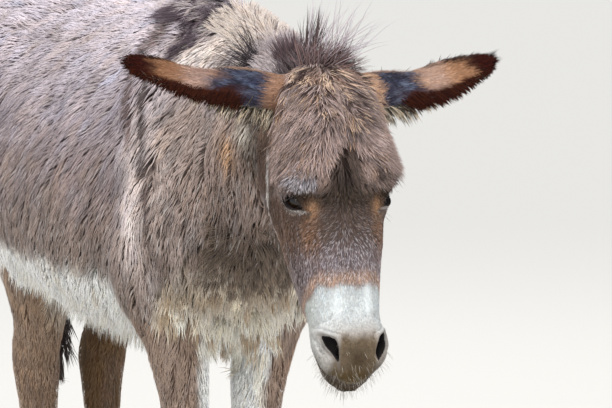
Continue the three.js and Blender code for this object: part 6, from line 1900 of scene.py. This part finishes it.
# ------------------------------------------------------------------ eyes
def plain_material(name, rough, gloss, scale, low, high, bump=0.0, vector="Object"):
    m = bpy.data.materials.new(name)
    m.use_nodes = True
    nt = m.node_tree
    bsdf = nt.nodes["Principled BSDF"]
    bsdf.inputs["Roughness"].default_value = rough
    bsdf.inputs["Specular IOR Level"].default_value = gloss
    att = nt.nodes.new("ShaderNodeAttribute")
    att.attribute_name = "Col"
    geo = nt.nodes.new("ShaderNodeTexCoord")
    noise = nt.nodes.new("ShaderNodeTexNoise")
    noise.inputs["Scale"].default_value = scale
    noise.inputs["Detail"].default_value = 3.0
    nt.links.new(geo.outputs[vector], noise.inputs["Vector"])
    ramp = nt.nodes.new("ShaderNodeMapRange")
    ramp.inputs["From Min"].default_value, ramp.inputs["From Max"].default_value = 0.3, 0.7
    ramp.inputs["To Min"].default_value, ramp.inputs["To Max"].default_value = low, high
    nt.links.new(noise.outputs["Fac"], ramp.inputs["Value"])
    mul = nt.nodes.new("ShaderNodeVectorMath")
    mul.operation = "MULTIPLY"
    nt.links.new(att.outputs["Color"], mul.inputs[0])
    nt.links.new(ramp.outputs["Result"], mul.inputs[1])
    nt.links.new(mul.outputs["Vector"], bsdf.inputs["Base Color"])
    if bump:
        b = nt.nodes.new("ShaderNodeBump")
        b.inputs["Strength"].default_value = 0.5
        b.inputs["Distance"].default_value = bump
        nt.links.new(noise.outputs["Fac"], b.inputs["Height"])
        nt.links.new(b.outputs["Normal"], bsdf.inputs["Normal"])
    return m


MAT_EYE = plain_material("wet_eye", 0.05, 0.5, 900.0, 0.75, 1.2)
MAT_HORN = plain_material("hoof_horn", 0.42, 0.4, 160.0, 0.72, 1.2, 0.0006)


def turned(rings_, axis_pts, closed_first=True):
    """Faces of a body of rings with the same number of points, closed by a point at each end."""
    m, k = rings_
    F = []
    for i in range(k):
        F.append((0, 1 + (i + 1) % k, 1 + i))
    for r in range(m - 1):
        a, b = 1 + r * k, 1 + (r + 1) * k
        for i in range(k):
            j = (i + 1) % k
            F += [(a + i, a + j, b + j), (a + i, b + j, b + i)]
    a, t = 1 + (m - 1) * k, 1 + m * k
    for i in range(k):
        F.append((a + i, a + (i + 1) % k, t))
    return np.array(F)


def right_way_out(X, F):
    vol = np.einsum("ij,ij->i", X[F[:, 0]], np.cross(X[F[:, 1]], X[F[:, 2]])).sum()
    return F if vol > 0 else F[:, ::-1]


for e, side_name in ((-1, "right"), (1, "left")):
    out_, long_, high = eye_axes(e)
    # the ball: a bulge in front over a dark streaked iris and a wide, low pupil
    ring_angles = np.radians(np.concatenate([[4, 8, 12, 16, 20, 24, 28, 30, 32, 35, 39, 45, 52], np.linspace(62, 172, 12)]))
    k = 40
    az_ = np.arange(k) / k * 2 * math.pi
    pts, cols = [out_ * 20.0], [(0.004, 0.004, 0.005)]
    for th in ring_angles:
        r = 18.7 + 1.3 * (1 - step(0, math.radians(36), th))
        for q in az_:
            u, v = math.sin(th) * math.cos(q) * r, math.sin(th) * math.sin(q) * r
            pts.append(long_ * u + high * v + out_ * math.cos(th) * r)
            rr = math.hypot(u, v)
            pupil = 1 - float(step(0.9, 1.15, math.hypot(u / 6.4, v / 3.6)))
            streaks = 0.8 + 0.35 * math.sin(q * 13 + 2 * math.sin(q * 5))
            iris = np.array([0.030, 0.015, 0.008]) * streaks * (1.4 - 0.06 * rr)
            white = np.array([0.055, 0.036, 0.028])
            c = iris + (white - iris) * float(step(10.2, 12.2, rr))
            c = c * (1 - 0.75 * float(np.exp(-((rr - 11) / 0.8) ** 2)))
            cols.append(tuple(c * (1 - pupil) + np.array([0.004, 0.004, 0.005]) * pupil))
    pts.append(-out_ * 18.7)
    cols.append((0.05, 0.035, 0.03))
    X = np.array(pts) + EYES[e]
    F = turned((len(ring_angles), k), None)
    F = right_way_out(X - EYES[e], F)
    o = mesh_object(f"eyeball_{side_name}", X, F)
    paint(o, np.array(cols))
    o.data.materials.append(MAT_EYE)
    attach(o, "root")
    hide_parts(f"eye_{side_name}")

    # lashes: a dense dark row on the upper lid that hangs forward and down, a few short ones below
    def lid_roots(count, upper):
        u = hair.uniform(-19, 19, count) if upper else hair.uniform(-15, 15, count)
        camber = 2.2 * (u / 22) - 1.2 * (u / 22) ** 2
        up = LID_UP * np.maximum(1 - np.abs((u + 2) / 23) ** 2.3, -0.4)
        dn = LID_DOWN * np.maximum(1 - np.abs((u - 4) / 22) ** 2.0, -0.4)
        v = camber + up + hair.uniform(-0.2, 1.4, count) if upper else camber - dn - hair.uniform(0, 1.2, count)
        w = np.sqrt(np.maximum(21.6**2 - u * u - v * v, 40))
        P = EYES[e] + u[:, None] * long_ + v[:, None] * high + w[:, None] * out_
        return P, u

    P, u = lid_roots(150, True)
    n = len(P)
    D = out_ * 0.95 + high * hair.uniform(-0.55, 0.0, n)[:, None] + long_ * (u / 40)[:, None]
    tc = toned((0.028, 0.021, 0.019), n, 0.3)
    tc = np.where((hair.random(n) < 0.05)[:, None], toned((0.40, 0.37, 0.36), n), tc)
    uv = TUV[nearest(P, TC)].mean(1)  # where each lash is rooted on the unwrap
    strands(f"lash_{side_name}_upper", P, np.tile(out_, (n, 1)), jitter(D, 0.08), hair.uniform(8, 15, n), hair.uniform(0.20, 0.32, n), 0.40, tc, tc, uv, MAT_MANE, wave=0.02, keep_off=False, flat=0.8)
    P, u = lid_roots(40, False)
    n = len(P)
    D = out_ * 0.9 - high * 0.6 + long_ * (u / 40)[:, None]
    tc = toned((0.06, 0.05, 0.045), n, 0.3)
    uv = TUV[nearest(P, TC)].mean(1)
    strands(f"lash_{side_name}_lower", P, np.tile(out_, (n, 1)), jitter(D, 0.08), hair.uniform(4, 8, n), hair.uniform(0.16, 0.24, n), 0.05, tc, tc, uv, MAT_MANE, wave=0.02, keep_off=False, flat=0.8)

# --- whiskers on the lips and chin, and long feelers round the eyes
w = on_head * step(395, 430, TA_) * (1 + 2.0 * step(430, 450, TA_)) * step(-200, -40, -np.abs(TB_ + 80))
w = w * (nostril_hole(TA_, TB_, TCC)[0] > 1.7)
P, N, uv, part = pick(w, 420)
D = N * 0.9 + HEAD_A * 0.25 + np.array([0, 0, -0.25])
tc = np.where((hair.random(len(P)) < 0.5)[:, None], toned((0.50, 0.46, 0.40), len(P)), toned((0.16, 0.13, 0.11), len(P)))
strands("whiskers", P, N, jitter(D, 0.25), hair.uniform(7, 20, len(P)) * (1 + 0.5 * (hair.random(len(P)) < 0.15)), hair.uniform(0.13, 0.22, len(P)), 0.10, tc, tc, uv, MAT_MANE, wave=0.04, keep_off=False, flat=0.8)
w = on_head * (np.exp(-(((TA_ - 170) / 8) ** 2)) + np.exp(-(((TA_ - 214) / 7) ** 2))) * (np.abs(TCC) > 50) * step(-60, -30, TB_)
P, N, uv, part = pick(w, 36)
tc = toned((0.20, 0.17, 0.16), len(P))
strands("feelers", P, N, jitter(N + HEAD_A * 0.3, 0.2), hair.uniform(14, 26, len(P)), 0.16 + 0 * P[:, 0], 0.05, tc, tc, uv, MAT_MANE, wave=0.03, keep_off=False, flat=0.8)


# ------------------------------------------------------------------ hooves: horn with growth rings, a flat sole with its frog, a soft coronet
for name_, toe, heel, half, shift in (("fore", -88.0, 2.0, 37.0, FORE_STEP), ("hind", 708.0, 792.0, 35.0, HIND_STEP)):
    for e, side_name in ((-1, "right"), (1, "left")):
        yt, yh = toe + shift[e], heel + shift[e]
        yc, k, levels = (yt + yh) / 2, 56, 15
        X, cols, uvw = [], [], []
        sole_rows = [0.0, 0.35, 0.62, 0.80, 0.93]
        X.append((66 * e, yc, 3.2))
        cols.append((0.16, 0.135, 0.11))
        ang = np.arange(k) / k * 2 * math.pi

        def rim(t, grow=1.0):
            lean = 1 - 0.20 * t
            fwd, sw = np.cos(ang), np.sin(ang)
            ln = (yh - yt) / 2 * np.where(fwd < 0, 1.0, 0.94) * lean * grow
            y = yc + 13 * t + fwd * ln
            x = sw * half * (1 - 0.12 * t) * grow
            # flatter at the quarters and a soft notch at the heels
            x = x * (1 + 0.03 * np.abs(fwd)) 
            y = y - 3.0 * np.exp(-((sw / 0.16) ** 2)) * (fwd > 0) * (1 - 0.6 * t)
            z = t * 56.0 - t * (fwd + 1) * 11
            return x, y, z

        for g in sole_rows[1:]:
            x, y, z = rim(0, g * 0.985)
            frog = np.exp(-((x / 7) ** 2)) * step(yc - 18, yc + 10, y)
            dish = 2.6 * (1 - g**3)
            for i in range(k):
                X.append((66 * e + x[i], y[i], float(dish * (1 - 0.85 * frog[i]) + 0.15)))
                cols.append((0.13, 0.11, 0.09) if g < 0.9 else (0.20, 0.175, 0.145))
        tones = np.random.default_rng(5).uniform(0.85, 1.12, 60)
        for j in range(levels + 1):
            t = j / levels * 0.955
            ripple = 1.0 - 0.009 * (0.5 + 0.5 * math.sin(j * 2.1)) - (0.012 if j == 0 else 0)
            x, y, z = rim(t, ripple)
            bevel = 0.9 if j == 0 else 0.0
            for i in range(k):
                X.append((66 * e + x[i], y[i], float(max(z[i], 0.0)) + (0.0 if j else 0.3)))
                base = np.array([0.105, 0.086, 0.070]) * tones[j] * (0.9 + 0.14 * math.sin(i * 0.9 + 2 * math.sin(i * 0.37)))
                base = base + (np.array([0.20, 0.165, 0.125]) - base) * float(1 - step(0.0, 0.14, np.array(t))) * 0.5
                cols.append(tuple(base))
        x, y, z = rim(0.955, 0.86)
        for i in range(k):
            X.append((66 * e + x[i], y[i], float(z[i]) + 2.5))
            cols.append((0.09, 0.075, 0.062))
        X.append((66 * e, yc + 13, 46.0))
        cols.append((0.09, 0.075, 0.062))
        X = np.array(X, float)
        rows_ = len(sole_rows) - 1 + levels + 1 + 1
        F = turned((rows_, k), None)
        F = right_way_out(X - [66 * e, yc, 22], F)
        o = mesh_object(f"horn_{name_}_{side_name}", X, F)
        paint(o, np.array(cols))
        o.data.materials.append(MAT_HORN)
        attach(o, "root")
        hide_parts(f"hoof_{name_}_{side_name}")
say("eyes and hooves, coat triangles", coat_count)

# ------------------------------------------------------------------ camera, floor and light
cam_data = bpy.data.cameras.new("camera")
cam_data.sensor_width, cam_data.lens = 36.0, 278.2
cam_data.clip_start, cam_data.clip_end = 0.1, 200
cam = bpy.data.objects.new("camera", cam_data)
bpy.context.scene.collection.objects.link(cam)
cam.location = to_row([-2423, -7070, 1717])
_a, _p = math.radians(20), math.radians(7)
cam.rotation_mode = "QUATERNION"
cam.rotation_quaternion = Vector((math.sin(_a) * math.cos(_p), math.cos(_a) * math.cos(_p), -math.sin(_p))).to_track_quat("-Z", "Y")
bpy.context.scene.camera = cam

floor_mesh = bpy.data.meshes.new("floor")
size = 60.0
floor_mesh.from_pydata([(-size, -size, 0), (size, -size, 0), (size, size, 0), (-size, size, 0)], [], [(0, 1, 2, 3)])
floor = bpy.data.objects.new("floor", floor_mesh)
bpy.context.scene.collection.objects.link(floor)
fm = bpy.data.materials.new("floor")
fm.use_nodes = True
fm.node_tree.nodes["Principled BSDF"].inputs["Base Color"].default_value = (0.575, 0.56, 0.53, 1)
fm.node_tree.nodes["Principled BSDF"].inputs["Roughness"].default_value = 0.9
floor_mesh.materials.append(fm)

bpy.context.scene.view_settings.view_transform = "Standard"
world = bpy.data.worlds.new("studio")
bpy.context.scene.world = world
world.use_nodes = True
world.node_tree.nodes["Background"].inputs["Color"].default_value = (0.93, 0.96, 1.0, 1)
world.node_tree.nodes["Background"].inputs["Strength"].default_value = 0.92


def lamp(name, kind, at, aim, size, power, colour):
    light = bpy.data.lights.new(name, kind)
    light.energy, light.color = power, colour
    if kind == "SUN":
        light.angle = size
    else:
        light.shape, light.size = "DISK", size
    o = bpy.data.objects.new(name, light)
    bpy.context.scene.collection.objects.link(o)
    o.location = at
    o.rotation_mode = "QUATERNION"
    o.rotation_quaternion = (Vector(aim) - Vector(at)).to_track_quat("-Z", "Y")
    return o


lamp("key", "SUN", (-1.6, -1.9, 4.2), (0, -0.1, 0.9), 0.9, 2.05, (1.0, 0.985, 0.965))
lamp("fill", "AREA", (0.7, -4.6, 1.0), (0, -0.3, 0.65), 2.5, 48, (0.97, 0.975, 1.0))
lamp("back", "AREA", (1.5, 3.2, 3.4), (0, 0.2, 0.9), 2.0, 45, (1.0, 0.97, 0.94))

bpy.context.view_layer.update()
say("done")
